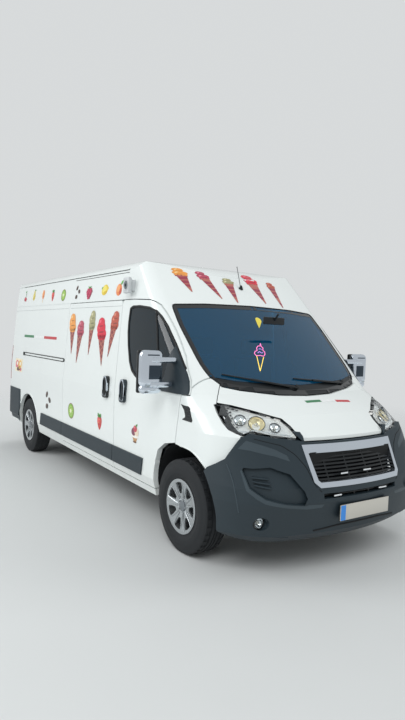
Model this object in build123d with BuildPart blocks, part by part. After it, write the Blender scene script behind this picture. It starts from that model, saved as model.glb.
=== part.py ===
"""High-roof ice cream van: body, doors, running gear, cab furniture and serving gear, in millimetres."""
# Frame: +X forwards, +Y to the vehicle's left, +Z up. The origin is on the ground at mid length.

import math
import os

from build123d import *

os.makedirs("parts", exist_ok=True)

# Overall layout
half_length = 2999.0
wheelbase = 4035.0
front_overhang = 948.0
front_axle_x = half_length - front_overhang
rear_axle_x = front_axle_x - wheelbase
tyre_radius = 364.0
tyre_width = 216.0
bead_radius = 203.0
front_track = 1810.0
rear_track = 1790.0
far = 3300.0

# Body shell
wall = 45.0
glass_thick = 5.0
glass_inset = 6.0
trim_out = 12.0
groove_depth = 6.0
seam = 6.0
door_seam = 8.0
sill_z = 335.0
roof_seam_z = 2004.0
tail_x = -2945.0
taper_start_x = 900.0
tail_corner = 75.0
floor_top = 545.0
floor_thick = 45.0
roof_crown_z = 2478.0
rear_door_low = 572.0
rear_door_high = 2276.0
shoulder_z = 2350.0
shoulder_half = 880.0

# Plan sections of the body: height, half width, nose x, nose radius, corner radius, side radius
body_sections = [
    (sill_z, 985.0, 2780.0, 2600.0, 400.0, 200000.0),
    (470.0, 1018.0, 2820.0, 2600.0, 440.0, 200000.0),
    (985.0, 1025.0, 2800.0, 2600.0, 480.0, 200000.0),
    (1120.0, 1024.0, 2600.0, 2700.0, 400.0, 100000.0),
    (1250.0, 1016.0, 2330.0, 3000.0, 260.0, 40000.0),
    (1975.0, 962.0, 1565.0, 3600.0, 150.0, 8000.0),
    (2560.0, 885.0, 980.0, 3600.0, 130.0, 8000.0),
]
# Plan sections of the front bumper, same columns
bumper_sections = [
    (240.0, 968.0, 2836.0, 2400.0, 430.0, 200000.0),
    (330.0, 1012.0, 2940.0, 2400.0, 450.0, 200000.0),
    (560.0, 1034.0, 2988.0, 2400.0, 470.0, 200000.0),
    (660.0, 1036.0, 2978.0, 2400.0, 480.0, 200000.0),
    (1030.0, 1032.0, 2790.0, 2550.0, 495.0, 200000.0),
]
bumper_wall = 60.0
bonnet_thick = 25.0
recess_depth = 32.0

# Outlines seen from the side, x then z
door_outline = [
    (829, 398), (817, 1955), (825, 1985), (850, roof_seam_z - 7), (1056, 1996), (1330, 1984), (1398, 1966),
    (1454, 1940), (1527, 1879), (1609, 1803), (1695, 1720), (1789, 1624), (1891, 1515), (1937, 1454),
    (1986, 1395), (2037, 1337), (2075, 1271), (2088, 1235), (1999, 1231), (1990, 1050), (1957, 845),
    (1800, 812), (1690, 740), (1650, 640), (1634, 398),
]
window_outline = [
    (976, 1920), (968, 1800), (975, 1700), (1006, 1577), (1067, 1423), (1126, 1345), (1200, 1304),
    (1320, 1262), (1440, 1240), (1678, 1224), (1960, 1226), (1960, 1420), (1924, 1454), (1847, 1537),
    (1772, 1615), (1700, 1686), (1626, 1760), (1529, 1844), (1455, 1895), (1347, 1926), (1166, 1943),
    (1031, 1942),
]
sail_outline = [(1640, 1226), (1730, 1350), (1790, 1596), (1924, 1454), (1986, 1391), (2034, 1335), (2070, 1271),
                (2080, 1237), (1999, 1231)]
slide_door_outline = [(-605, 398), (-605, roof_seam_z - 30), (-580, roof_seam_z - 8), (780, roof_seam_z - 8),
                      (805, 1975), (809, 1955), (821, 398)]
bumper_edge = [(2516, 314), (2525, 420), (2500, 560), (2440, 660), (2385, 720), (2421, 757), (2496, 797),
               (2556, 839), (2581, 911), (2602, 985), (2600, 1028)]
# Lamp and bumper recess seen along the nose corner, at 45 degrees: sideways then z
lamp_outline = [
    (984, 1184), (1008, 1191), (1105, 1179), (1254, 1149), (1402, 1115), (1482, 1096), (1551, 1050),
    (1605, 1003), (1650, 963), (1559, 978), (1421, 994), (1281, 1016), (1237, 993), (1185, 1008),
    (1124, 1029), (1073, 1070), (1015, 1138),
]
recess_outline = [(1251, 783), (1260, 796), (1319, 794), (1439, 805), (1575, 758), (1681, 647), (1704, 592),
                  (1686, 550), (1553, 569), (1427, 603), (1316, 668)]
# Bonnet side edge from above, x then y of the left half, from the front back to the windscreen
bonnet_edge = [(2765, 432), (2732, 462), (2662, 468), (2590, 494), (2547, 565), (2455, 682), (2362, 799),
               (2299, 873), (2236, 822), (2201, 789)]
# Windscreen opening seen from the front, left half, y then z, from top centre to bottom centre
screen_edge = [(0, 1979), (500, 1970), (822, 1949), (841, 1772), (836, 1619), (832, 1466), (812, 1386),
               (793, 1350), (749, 1306), (614, 1280), (451, 1262), (283, 1245), (0, 1238)]
grille_outer = [(-475, 944), (475, 944), (455, 700), (415, 663), (-415, 663), (-455, 700)]
grille_inner = [(-438, 886), (438, 886), (418, 712), (400, 697), (-400, 697), (-418, 712)]

parts = {}


def tangent_corner(half, nose, nose_r, corner_r, side_r):
    """Centre of the corner circle that touches both the nose arc and the side arc."""
    ax, ra = nose - nose_r, nose_r - corner_r
    dx, dy, rb = taper_start_x - ax, half - side_r, side_r - corner_r
    d = math.hypot(dx, dy)
    along = (ra * ra - rb * rb + d * d) / (2 * d)
    off = math.sqrt(ra * ra - along * along)
    mx, my = ax + along * dx / d, along * dy / d
    return max(
        [(mx + off * dy / d, my - off * dx / d), (mx - off * dy / d, my + off * dx / d)],
        key=lambda c: c[0] + c[1],
    )


def between(cx, cy, radius, p, q):
    """Point of a circle half way between two of its points."""
    a = math.atan2((p[1] + q[1]) / 2 - cy, (p[0] + q[0]) / 2 - cx)
    return cx + radius * math.cos(a), cy + radius * math.sin(a)


def flip(p):
    """The same plan point on the other side of the vehicle."""
    return p[0], -p[1]


def hull(sections, inset=0.0, drop=0.0, tail=tail_x):
    """Closed body volume through plan sections, every wall moved in by inset and the lowest cut moved down."""
    with BuildPart() as volume:
        for row, (z, half, nose, nose_r, corner_r, side_r) in enumerate(sections):
            w, xf = half - inset, nose - inset
            rf, rc, rs = nose_r - inset, corner_r - inset, side_r - inset
            back, r = tail + inset, max(tail_corner - inset, 8.0)
            c = tangent_corner(w, xf, rf, rc, rs)
            nose_c, side_c = (xf - rf, 0.0), (taper_start_x, w - rs)
            k_nose, k_side = rc / (rf - rc), rc / (rs - rc)
            on_nose = (c[0] + (c[0] - nose_c[0]) * k_nose, c[1] + c[1] * k_nose)
            on_side = (c[0] + (c[0] - side_c[0]) * k_side, c[1] + (c[1] - side_c[1]) * k_side)
            k = r * (1 - math.sqrt(0.5))
            a, b = (back + r, w), (taper_start_x, w)
            corner_mid = between(*c, rc, on_side, on_nose)
            side_mid = between(*side_c, rs, b, on_side)
            with BuildSketch(Plane.XY.offset(z - (drop if row == 0 else 0))):
                with BuildLine():
                    Line((back, -w + r), (back, w - r))
                    ThreePointArc((back, w - r), (back + k, w - k), a)
                    Line(a, b)
                    ThreePointArc(b, side_mid, on_side)
                    ThreePointArc(on_side, corner_mid, on_nose)
                    ThreePointArc(on_nose, (xf, 0), flip(on_nose))
                    ThreePointArc(flip(on_nose), flip(corner_mid), flip(on_side))
                    ThreePointArc(flip(on_side), flip(side_mid), flip(b))
                    Line(flip(b), flip(a))
                    ThreePointArc(flip(a), (back + k, -w + k), (back, -w + r))
                make_face()
        loft(ruled=True)
    return volume.part


def roof_envelope(inset=0.0):
    """Everything under the crowned roof, rounded at its shoulders, over the cab and at the tail."""
    top, edge, side = roof_crown_z - inset, shoulder_z - inset, shoulder_half - inset
    tail = tail_x + inset
    with BuildPart() as across:
        with BuildSketch(Plane.YZ.offset(-far)) as outline:
            with BuildLine():
                Polyline((side + 30, edge - 5), (1100 - inset, 1500), (1100, -50), (-1100, -50))
                Polyline((-1100, -50), (inset - 1100, 1500), (-side - 30, edge - 5))
                ThreePointArc((-side - 30, edge - 5), (0, top), (side + 30, edge - 5))
            make_face()
            fillet(outline.vertices().sort_by(Axis.Y)[-2:], 130 - inset)
        extrude(amount=2 * far)
    with BuildPart() as along:
        with BuildSketch(Plane.XZ.offset(-1300)):
            with BuildLine():
                Polyline((0, top - 8), (-1000, top), (-2800, top - 22), (tail + 8, top - 110))
                Polyline((tail + 8, top - 110), (tail - 30, 1200), (tail - 30, -50), (far, -50))
                Polyline((far, -50), (far, 1450), (1258 - inset * 0.4, 2268 - inset))
                ThreePointArc((1258 - inset * 0.4, 2268 - inset), (1165, 2325 - inset), (1030, 2358 - inset))
                Line((1030, 2358 - inset), (700, 2412 - inset))
                ThreePointArc((700, 2412 - inset), (360, 2453 - inset), (0, top - 8))
            make_face()
        extrude(amount=2600)
    return across.part & along.part


def side_prism(points, y_from, y_to, grow=0.0):
    """Block through the side of the vehicle on an outline of x and z."""
    with BuildPart() as block:
        with BuildSketch(Plane.XZ.offset(-max(y_from, y_to))) as face:
            with BuildLine():
                Polyline(*points, close=True)
            make_face()
            if grow:
                offset(amount=grow, kind=Kind.INTERSECTION)
        extrude(amount=abs(y_to - y_from))
    return block.part


def front_prism(points, x_from, x_to, grow=0.0):
    """Block along the vehicle on an outline of y and z."""
    with BuildPart() as block:
        with BuildSketch(Plane.YZ.offset(x_from)):
            with BuildLine():
                Polyline(*points, close=True)
            make_face()
            if grow:
                offset(amount=grow, kind=Kind.INTERSECTION)
        extrude(amount=x_to - x_from)
    return block.part


def plan_prism(points, z_from, z_to, grow=0.0):
    """Upright block on an outline of x and y."""
    with BuildPart() as block:
        with BuildSketch(Plane.XY.offset(z_from)):
            with BuildLine():
                Polyline(*points, close=True)
            make_face()
            if grow:
                offset(amount=grow, kind=Kind.INTERSECTION)
        extrude(amount=z_to - z_from)
    return block.part


corner_plane = Plane(origin=(0, 0, 0), x_dir=(1, 1, 0), z_dir=(1, -1, 0))


def corner_prism(points, near, deep, grow=0.0):
    """Block through the right nose corner along the 45 degree direction."""
    with BuildPart() as block:
        with BuildSketch(corner_plane.offset(near)):
            with BuildLine():
                Polyline(*points, close=True)
            make_face()
            if grow:
                offset(amount=grow, kind=Kind.INTERSECTION)
        extrude(amount=deep - near)
    return block.part


def box(x0, x1, y0, y1, z0, z1):
    """Plain block between two corners."""
    with BuildPart() as block:
        with Locations(((x0 + x1) / 2, (y0 + y1) / 2, (z0 + z1) / 2)):
            Box(x1 - x0, y1 - y0, z1 - z0)
    return block.part


def side_plate(x_mid, half_width, low, high, corner):
    """Block through the right side on an upright rectangle with round corners."""
    with BuildPart() as block:
        with BuildSketch(Plane.XZ):
            with Locations((x_mid, (low + high) / 2)):
                RectangleRounded(2 * half_width, high - low, corner)
        extrude(amount=1300)
    return block.part


def other_side(shape):
    """The mirror image on the left of the vehicle."""
    return mirror(shape, about=Plane.XZ)


def keep(name, shape):
    """Store one sub-part under its file name."""
    parts[name] = shape


def largest(shape):
    """The biggest solid of a cut, without the slivers beside it."""
    return max(shape.solids(), key=lambda solid: solid.volume)


def pair(shape):
    """The same solid on both sides of the vehicle, as two separate solids."""
    return Compound(children=[shape, other_side(shape)])


def both(points):
    """Close a half outline that starts and ends on the centre line by its mirror image."""
    return points + [(-y, z) for y, z in reversed(points[1:-1])]


# Volumes that the panels are cut from
outer = hull(body_sections) & roof_envelope()
inner = hull(body_sections, wall, 30) & roof_envelope(wall)
shell = outer - inner
bumper_outer = hull(bumper_sections)
bumper_inner = hull(bumper_sections, bumper_wall, 30)
bumper_mid = hull(bumper_sections, recess_depth, 20)
lamp_core = hull(body_sections, 115, 30)

# Cutters
door_hole = side_prism(door_outline, -1200, -780, door_seam)
door_body = side_prism(door_outline, -1200, -780)
slide_hole = side_prism(slide_door_outline, -1200, -780, seam)
slide_body = side_prism(slide_door_outline, -1200, -780)
lamp_body = corner_prism(lamp_outline, 2080, 2700)
lamp_bodies = lamp_body + other_side(lamp_body)
lamp_gap = corner_prism(lamp_outline, 2080, 2700, seam)
screen_outline = both(screen_edge)
screen_hole = front_prism(screen_outline, 1350, 2600)
screen_gap = front_prism(screen_outline, 1350, 2600, door_seam)
front_zone = side_prism(bumper_edge + [(far, 1028), (far, 264), (2860, 264), (2640, 290)], -1300, 1300)
groove_skin = outer - hull(body_sections, groove_depth)
groove = groove_skin & box(-far, far, -1200, 1200, roof_seam_z - 4, roof_seam_z)

# Wheel arches
with BuildPart() as arches:
    for arch_y in (-1300, 560):
        with BuildSketch(Plane.XZ.offset(-arch_y - 740)):
            with BuildLine():
                Line((1630, 200), (1626, 480))
                ThreePointArc((1626, 480), (1735, 745), (2045, 829))
                ThreePointArc((2045, 829), (2385, 720), (2525, 420))
                Polyline((2525, 420), (2516, 314), (2516, 200), (1630, 200))
            make_face()
            with Locations((rear_axle_x, 364)):
                Circle(430)
        extrude(amount=740)
arch_cut = arches.part

# Bonnet outline from above, with a front line ahead of the nose
bonnet_half = [(3100, 432)] + bonnet_edge
bonnet_points = bonnet_half + [(2100, 694)] + [(2100, -694)] + [flip(p) for p in reversed(bonnet_half)]
bonnet_low = 962.0
bonnet_zone = plan_prism(bonnet_points, bonnet_low, 1500) - screen_gap
bonnet_hole = plan_prism(bonnet_points, bonnet_low - door_seam, 1500, seam)

right_half = box(-far, far, -1300, 0, -100, 2700)

# Roof with the screen pillars
roof_zone = side_prism(
    [(-far, roof_seam_z), (830, roof_seam_z), (1100, 1960), (1700, 1400), (2070, 1289), (2097, 1372), (2400, 1372),
     (2400, 2700), (-far, 2700)],
    1300, -1300,
)
rear_door_hole = box(-far, -2800, -790, 790, rear_door_low - seam, rear_door_high + seam)
door_holes = door_hole + other_side(door_hole)
roof_panel = (shell & roof_zone) - screen_hole - door_holes - rear_door_hole - slide_hole
keep("roof_panel", roof_panel)

# Rear door hinges: barrels on an upright axis just behind the corner post
hinge_x = tail_x - 9.0
hinge_y = -787.0
hinge_r = 8.0
barrel = 44.0
hinge_heights = (900.0, 1400.0, 1920.0)
play = 0.5


def rear_hinges():
    """Leaves and barrels of the right rear door's hinges: those of the post, and those of the door."""
    with BuildPart() as on_post:
        for z in hinge_heights:
            with Locations((hinge_x, hinge_y, z)):
                Cylinder(hinge_r, barrel)
            with Locations((tail_x - 1, hinge_y - 32, z)):
                Box(10, 64, barrel)
    with BuildPart() as on_door:
        for z in hinge_heights:
            for step in (-1, 1):
                with Locations((hinge_x, hinge_y, z + step * (barrel + play))):
                    Cylinder(hinge_r, barrel)
                with Locations((tail_x - 1, hinge_y + 32, z + step * (barrel + play))):
                    Box(10, 64, barrel)
    return on_post.part, on_door.part


# Side walls
side_zone = side_prism([(-far, 300), (1640, 300), (1640, 700), (823, 700), (790, roof_seam_z),
                        (-far, roof_seam_z)], -1300, 0)
rear_cut = rear_door_hole + box(-far, -2800, -790, 790, 300, rear_door_low)
tail_lamp_hole = box(-far, -2850, -1100, -872, 930, 1430)
side_wall = (shell & side_zone) - arch_cut - door_hole - rear_cut - tail_lamp_hole - groove
slide_corner = box(760, 830, -1300, 0, 1968, 2100)
side_hinges, door_hinges = rear_hinges()
side_wall = side_wall + side_hinges
keep("body_side_right", side_wall - slide_hole - slide_corner)
keep("body_side_left", other_side(side_wall))
tail_lamp = shell & tail_lamp_hole
keep("tail_lamps", pair(tail_lamp))

# Front wings
wing_zone = side_prism(
    [(2007, 1226), (1998, 1050), (1966, 850), (1966, 700), (2500, 600), (2600, 900), (2640, 1040), (2560, 1300),
     (2106, 1362), (2080, 1283), (2096, 1226)],
    -1200, -600,
)
wing = (shell & wing_zone) - arch_cut - door_hole - lamp_body - bonnet_hole - screen_hole - front_zone
keep("wing_right", largest(wing))
keep("wing_left", other_side(largest(wing)))

# Bonnet
bonnet_skin = outer - hull(body_sections, bonnet_thick, 30)
keep("bonnet", largest((bonnet_skin & bonnet_zone) - lamp_gap - other_side(lamp_gap)))

# Headlamps
keep("headlamps", pair((outer - lamp_core) & lamp_body))

# Front bumper with its grille, fog lamps and plate
fog_y = -816.0
fog_z = 423.0
fog_r = 46.0
slot_low = 584.0
slot_high = 620.0
slot_half = 385.0
louvre_thick = 9.0


def fog_disc(radius, x_from, x_to):
    """Cylinder along the vehicle on the axis of the right fog lamp."""
    with BuildPart() as disc:
        with BuildSketch(Plane.YZ.offset(x_from)):
            with Locations((fog_y, fog_z)):
                Circle(radius)
        extrude(amount=x_to - x_from)
    return disc.part


bumper = (bumper_outer - bumper_inner) & front_zone
bumper = bumper - arch_cut - lamp_bodies - bonnet_hole
recess = (corner_prism(recess_outline, 2000, 2900) & bumper_outer) - bumper_mid
grille_cut = front_prism(grille_outer, 2600, far)
fog_hole = fog_disc(fog_r, 2600, far)
slot = box(2600, far, -slot_half, slot_half, slot_low, slot_high)
bumper = bumper - recess - other_side(recess) - grille_cut - slot - fog_hole - other_side(fog_hole)
louvre_band = hull(bumper_sections, 12) - bumper_mid
for inner_end, outer_end in [((1317, 731), (1432, 724)), ((1326, 706), (1447, 693)), ((1341, 683), (1456, 666))]:
    blade_edge = [(outer_end[0], outer_end[1] + louvre_thick), (inner_end[0], inner_end[1] + louvre_thick)]
    louvre = corner_prism([inner_end, outer_end] + blade_edge, 2000, 2900) & louvre_band
    bumper = bumper + louvre + other_side(louvre)
keep("front_bumper", bumper)
keep("fog_lamps", pair(fog_disc(fog_r, 2728, 2768)))
grille_open = front_prism(grille_inner, 2600, far)
keep("grille_frame", (hull(bumper_sections, -8) - bumper_mid) & (grille_cut - grille_open))
with BuildPart() as bars:
    for bar_z in range(706, 886, 24):
        with Locations((2900, 0, bar_z)):
            Box(500, 1000, 12)
    for bar_y in (-300, -100, 100, 300):
        with Locations((2900, bar_y, 790)):
            Box(500, 10, 260)
slat_band = hull(bumper_sections, 30) - bumper_inner
with BuildPart() as slot_cells:
    for cell_y in (-231, -77, 77, 231):
        with Locations((2900, cell_y, (slot_low + slot_high) / 2)):
            Box(500, 14, slot_high - slot_low)
    with Locations((2900, 0, (slot_low + slot_high) / 2)):
        Box(500, 2 * slot_half, 6)
keep("grille_slats", (slat_band & bars.part & grille_open) + (slat_band & slot_cells.part))
with BuildPart() as plate:
    with Locations((half_length - 4, 0, 476)):
        Box(8, 520, 112)
    with Locations((half_length - 20, 0, 476)):
        Box(30, 300, 60)
keep("number_plate", plate.part - bumper_outer)

# Windscreen, scuttle and wipers
glass_band = hull(body_sections, glass_inset) - hull(body_sections, glass_inset + glass_thick, 30)
scuttle_top = [(-900, 1392), (-600, 1342), (0, 1312), (600, 1342), (900, 1392)]
scuttle_zone = front_prism(scuttle_top + [(900, 1100), (-900, 1100)], 1350, 2600)
keep("windscreen", (glass_band & screen_hole) - scuttle_zone)
scuttle_band = hull(body_sections, 10) - hull(body_sections, 30, 30)
keep("cowl_panel", scuttle_band & screen_hole & scuttle_zone)
wiper_skin = hull(body_sections, -18) - hull(body_sections, -4, 30)
wiper_foot = hull(body_sections, -18) - hull(body_sections, 10, 30)
# Blade lines seen from the front: foot y and z, tip y and z
wiper_table = [(-60.0, 1292.0, -700.0, 1392.0), (560.0, 1318.0, -40.0, 1362.0)]
blades = []
for foot_y, foot_z, tip_y, tip_z in wiper_table:
    blade = front_prism([(foot_y, foot_z - 9), (foot_y, foot_z + 9), (tip_y, tip_z + 7), (tip_y, tip_z - 7)], 1350, 2600)
    pivot = box(1350, 2600, foot_y - 16, foot_y + 16, foot_z - 16, foot_z + 16)
    blades.append((wiper_skin & blade) + (wiper_foot & pivot))
keep("wipers", Compound(children=blades))

# Front doors
door = (shell & door_body) - arch_cut - side_prism(window_outline, -1200, -780)
keep("front_door_right", door)
keep("front_door_left", other_side(door))
door_glass = glass_band & side_prism(window_outline, -1200, -780)
keep("door_glass_right", door_glass)
keep("door_glass_left", other_side(door_glass))

# Mirrors
mirror_x, mirror_y, mirror_z = 1828.0, -1192.0, 1393.0
sail = (hull(body_sections, -trim_out, 0) - outer) & side_prism(sail_outline, -1300, -780)
with BuildPart() as arms:
    for arm_x, root_y, arm_z in ((1832, -965, 1488), (1834, -990, 1296)):
        with Locations((arm_x, (root_y + mirror_y) / 2, arm_z)):
            Box(34, root_y - mirror_y, 26)
with BuildPart() as head:
    with Locations((mirror_x, mirror_y, mirror_z)):
        Box(110, 200, 345)
    fillet(head.edges().filter_by(Axis.X), 45)
    fillet(head.faces().sort_by(Axis.X)[-1].edges(), 30)
mirror_arm = (sail + (arms.part - outer)) - head.part
keep("mirror_base_right", mirror_arm)
keep("mirror_base_left", other_side(mirror_arm))
keep("mirror_head_right", head.part)
keep("mirror_head_left", other_side(head.part))

# Sliding door and rear doors
keep("sliding_door", shell & slide_body)
rear_door = (shell & box(-far, -2850, -784, -4, rear_door_low, rear_door_high)) + door_hinges
keep("rear_door_right", rear_door)
keep("rear_door_left", other_side(rear_door))

# Rear bumper with step
with BuildPart() as rear_skin:
    with BuildSketch(Plane.XY.offset(395)):
        with Locations(((-half_length - 2250) / 2, 0)):
            RectangleRounded(half_length - 2250, 2068, 160)
    extrude(amount=440)
    chamfer(rear_skin.faces().sort_by(Axis.Z)[0].edges(), 45)
rear_zone = side_prism([(-far, 390), (-2300, 390), (-2332, 620), (-2290, 740), (-2285, 818), (-far, 818)], -1300, 1300)
step_gap = box(-far, -2200, -802, 802, rear_door_low - seam, 900)
rear_bumper = (rear_skin.part & rear_zone) - outer - box(-2930, -2200, -940, 940, 300, 900) - arch_cut - step_gap
keep("rear_bumper", rear_bumper)

# Side mouldings, slide rail and gutter
strip_zone = side_prism([(-1384, 613), (-1420, 463), (1410, 463), (1436, 613)], -1300, 1300)
strip_skin = (hull(body_sections, -trim_out) - outer) & strip_zone
door_side = box(823, 1500, -1300, 1300, 400, 700)
fixed_strip = strip_skin - box(815, 1500, -1300, 1300, 400, 700) - box(-610, -602, -1300, 0, 400, 700)
keep("side_strips", fixed_strip)
right_strip = strip_skin & door_side & box(-far, far, -1300, 0, 0, 900)
rail_zone = box(-2223, -612, -1300, 0, 1322, 1352)
slide_rail = (hull(body_sections, -8) - outer) & rail_zone

# Upright door handles: a bezel round a bed, with a grip down its middle
handle_out = 28.0
handle_bed = 10.0
handle_low = 1048.0
handle_high = 1260.0
handle_half = 50.0
handle_rim = 14.0
grip_half = 11.0
handle_skin = hull(body_sections, -handle_out) - outer
handle_depth = hull(body_sections, -handle_out - 2) - hull(body_sections, -handle_bed)


def door_handle(x_mid):
    """Handle on the right side at one place along the vehicle."""
    bezel = handle_skin & side_plate(x_mid, handle_half, handle_low, handle_high, 30)
    bed = side_plate(x_mid, handle_half - handle_rim, handle_low + handle_rim, handle_high - handle_rim, 20)
    grip = side_plate(x_mid, grip_half, handle_low, handle_high, 4)
    return bezel - ((handle_depth & bed) - grip)


keep("slide_rail", Compound(children=[slide_rail, door_handle(640)]))
front_handle = door_handle(1025)
keep("door_strip_right", Compound(children=[right_strip, front_handle]))
keep("door_strip_left", Compound(children=[other_side(right_strip), other_side(front_handle)]))
gutter_zone = box(-2900, 860, -1300, 1300, 2290, 2304)
keep("roof_gutters", ((hull(body_sections, -10) & roof_envelope(-10)) - outer) & gutter_zone)

# Horn speaker
with BuildPart() as speaker:
    with Locations((985, -985, 2126)):
        Box(112, 76, 148)
    with Locations((985, -945, 2126)):
        Box(50, 60, 50)
    fillet(speaker.edges().filter_by(Axis.Y), 6)
keep("horn_speaker", speaker.part - outer)

# Floor, wheel boxes and scuttle panel
half_cab = 948.0
with BuildPart() as rear_boxes:
    for y0 in (-1000, 735):
        with BuildSketch(Plane.XZ.offset(-y0 - 265)):
            with Locations((rear_axle_x, 364)):
                Circle(452)
        extrude(amount=265)
with BuildPart() as rear_wells:
    for y0 in (-1100, 749):
        with BuildSketch(Plane.XZ.offset(-y0 - 351)):
            with Locations((rear_axle_x, 364)):
                Circle(438)
        extrude(amount=351)
cargo_floor = inner & box(-2894, 800, -1100, 1100, floor_top - floor_thick, floor_top)
cab_floor = box(800, 1640, -half_cab, half_cab, floor_top - floor_thick, floor_top)
toe_board = inner & side_prism(
    [(1590, 545), (1850, 905), (1925, 1212), (2190, 1240), (2195, 1212), (1953, 1186), (1878, 892), (1640, 500),
     (1590, 500)], -880, 880)
front_well = side_prism(
    [(1614, 300), (1612, 484), (1650, 640), (1722, 757), (1870, 826), (2045, 843), (2250, 812), (2397, 732),
     (2485, 620), (2532, 480), (2538, 300)], -880, -548)
front_lip = side_prism(
    [(1614, 300), (1612, 484), (1650, 640), (1722, 757), (1870, 826), (2045, 843), (2250, 812), (2370, 750),
     (2370, 300)], -1010, -870) & inner
front_lip = front_lip - box(1500, 2012, -1100, -960, 200, 900)
front_wells = front_well + front_lip + other_side(front_well + front_lip)
below_boxes = box(-far, far, -1100, 1100, 0, 420)
towbar_hole_r = 6.5
towbar_x = -2650.0
towbar_spacing = 100.0
rail_z = 450.0
with BuildPart() as rail:
    with Locations((3, -460, rail_z)):
        Box(5794, 80, 100)
    with Locations((towbar_x - towbar_spacing / 2, -460, rail_z), (towbar_x + towbar_spacing / 2, -460, rail_z)):
        Cylinder(towbar_hole_r, 80, rotation=(90, 0, 0), mode=Mode.SUBTRACT)
rails = (rail.part & bumper_inner) + other_side(rail.part & bumper_inner)
mat_thick = 4.0
load_mat = box(-2880, -1100, -600, 600, floor_top, floor_top + mat_thick)
floor_slab = (cargo_floor + cab_floor) - rear_boxes.part - front_wells - arch_cut - rear_wells.part
keep("floor_pan", floor_slab + load_mat + rails)
rear_shells = (rear_boxes.part & inner) - below_boxes - rear_wells.part - arch_cut
keep("wheel_boxes", rear_shells + (front_wells - below_boxes - arch_cut))
keep("toe_board", toe_board - cab_floor - front_wells)
# Door stops of the bulkhead end a little short of the door's inner face
stop_volume = hull(body_sections, wall + play, 30)
door_stops = stop_volume & (box(780, 900, 900, 1100, 1040, 1080) + box(780, 900, -1100, -900, 1040, 1080))
keep("bulkhead", (inner & box(768, 790, -1100, 1100, floor_top, 2600)) + door_stops)

# Cab furniture
with BuildPart() as seats:
    for seat_y, seat_w in ((470, 470), (-365, 880)):
        with Locations((1270, seat_y, 680)):
            Box(420, seat_w - 60, 270)
        with Locations((1280, seat_y, 880)):
            Box(500, seat_w, 130)
        with BuildSketch(Plane.XZ.offset(-seat_y - seat_w / 2)):
            Polygon((1030, 830), (1170, 830), (1060, 1500), (950, 1500), align=None)
        extrude(amount=seat_w)
    for rest_y in (470, -180, -560):
        with Locations((1000, rest_y, 1590)):
            Box(90, 260, 180)
keep("seats", seats.part)
dash = side_prism([(1640, 1000), (1680, 1150), (1880, 1232), (2110, 1262), (2190, 1240), (1925, 1212),
                   (1850, 905), (1700, 880)], -880, 880)
wheel_tilt = Plane(origin=(1545, 470, 1130), z_dir=(-0.72, 0, 0.69))
hub_half = 14.0
with BuildPart() as column:
    with BuildSketch(wheel_tilt.offset(-hub_half - play)):
        Circle(30)
    extrude(amount=-250)
keep("dashboard", (dash & inner) + column.part)
with BuildPart() as steering_wheel:
    with BuildSketch(Plane(origin=wheel_tilt.origin, x_dir=(0, 1, 0), z_dir=wheel_tilt.x_dir)):
        with Locations((180, 0)):
            Circle(15)
    revolve(axis=Axis(wheel_tilt.origin, wheel_tilt.z_dir))
    with BuildSketch(wheel_tilt.offset(-hub_half)):
        Circle(60)
        Rectangle(34, 350)
    extrude(amount=2 * hub_half)
keep("steering_wheel", steering_wheel.part)

# Serving gear in the load space
with BuildPart() as cabinet:
    with Locations((-150, -560, 1000)):
        Box(1700, 620, 910)
keep("gelato_cabinet", cabinet.part)

# Drivetrain and underside
kingpin_y = front_track / 2 - 45
kingpin_r = 14.0
pin_play = 0.06
hub_r = 75.0
stub_r = 32.0
stub_reach = 36.0
keep("engine_block", box(2210, 2600, -330, 330, 380, 860))
under_bonnet = hull(body_sections, bonnet_thick + play, 30)
bonnet_stops = under_bonnet & (box(2690, 2735, 180, 260, 850, 1100) + box(2690, 2735, -260, -180, 850, 1100))
keep("radiator", box(2690, 2735, -420, 420, 400, 860) + bonnet_stops)
with BuildPart() as subframe:
    with Locations((front_axle_x, 0, 295)):
        Box(320, 900, 80)
    for side in (-1, 1):
        with Locations((front_axle_x, side * (kingpin_y + 455) / 2, 248)):
            Box(60, kingpin_y - 415, 22)
        with Locations((front_axle_x, side * kingpin_y, 268)):
            Cylinder(kingpin_r, 44)
    for post_y in (-460, 460):
        with Locations((front_axle_x, post_y, 365)):
            Box(120, 70, 70)
    with Locations((2330, 0, 345)):
        Box(300, 500, 70)
keep("front_subframe", subframe.part)
with BuildPart() as rear_axle:
    with Locations((rear_axle_x, 0, tyre_radius)):
        Cylinder(34, 1560, rotation=(90, 0, 0))
        Cylinder(stub_r, rear_track + 2 * stub_reach, rotation=(90, 0, 0))
    for spring_y in (-560, 560):
        with Locations((rear_axle_x, spring_y, 385)):
            Box(1300, 64, 34)
        with Locations((rear_axle_x - 610, spring_y, 445), (rear_axle_x + 610, spring_y, 445)):
            Box(60, 64, 110)
        with Locations((rear_axle_x, spring_y, 350)):
            Box(120, 64, 60)
keep("rear_axle", rear_axle.part)
keep("fuel_tank", box(200, 1000, 110, 410, 300, 500) )
with BuildPart() as exhaust:
    with Locations((-300, -250, 380)):
        Cylinder(85, 700, rotation=(0, 90, 0))
    with Locations((-425, -250, 440)):
        Cylinder(27, 3450, rotation=(0, 90, 0))
    for hanger_x in (-900, 900):
        with Locations((hanger_x, -250, 470)):
            Box(30, 30, 60)
keep("exhaust", exhaust.part)
with BuildPart() as spare:
    with Locations((-2540, 0, 370)):
        Cylinder(340, 200)
        Cylinder(150, 200, mode=Mode.SUBTRACT)
    with Locations((-2540, 0, 430)):
        Box(340, 60, 140)
keep("spare_wheel", spare.part)

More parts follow.
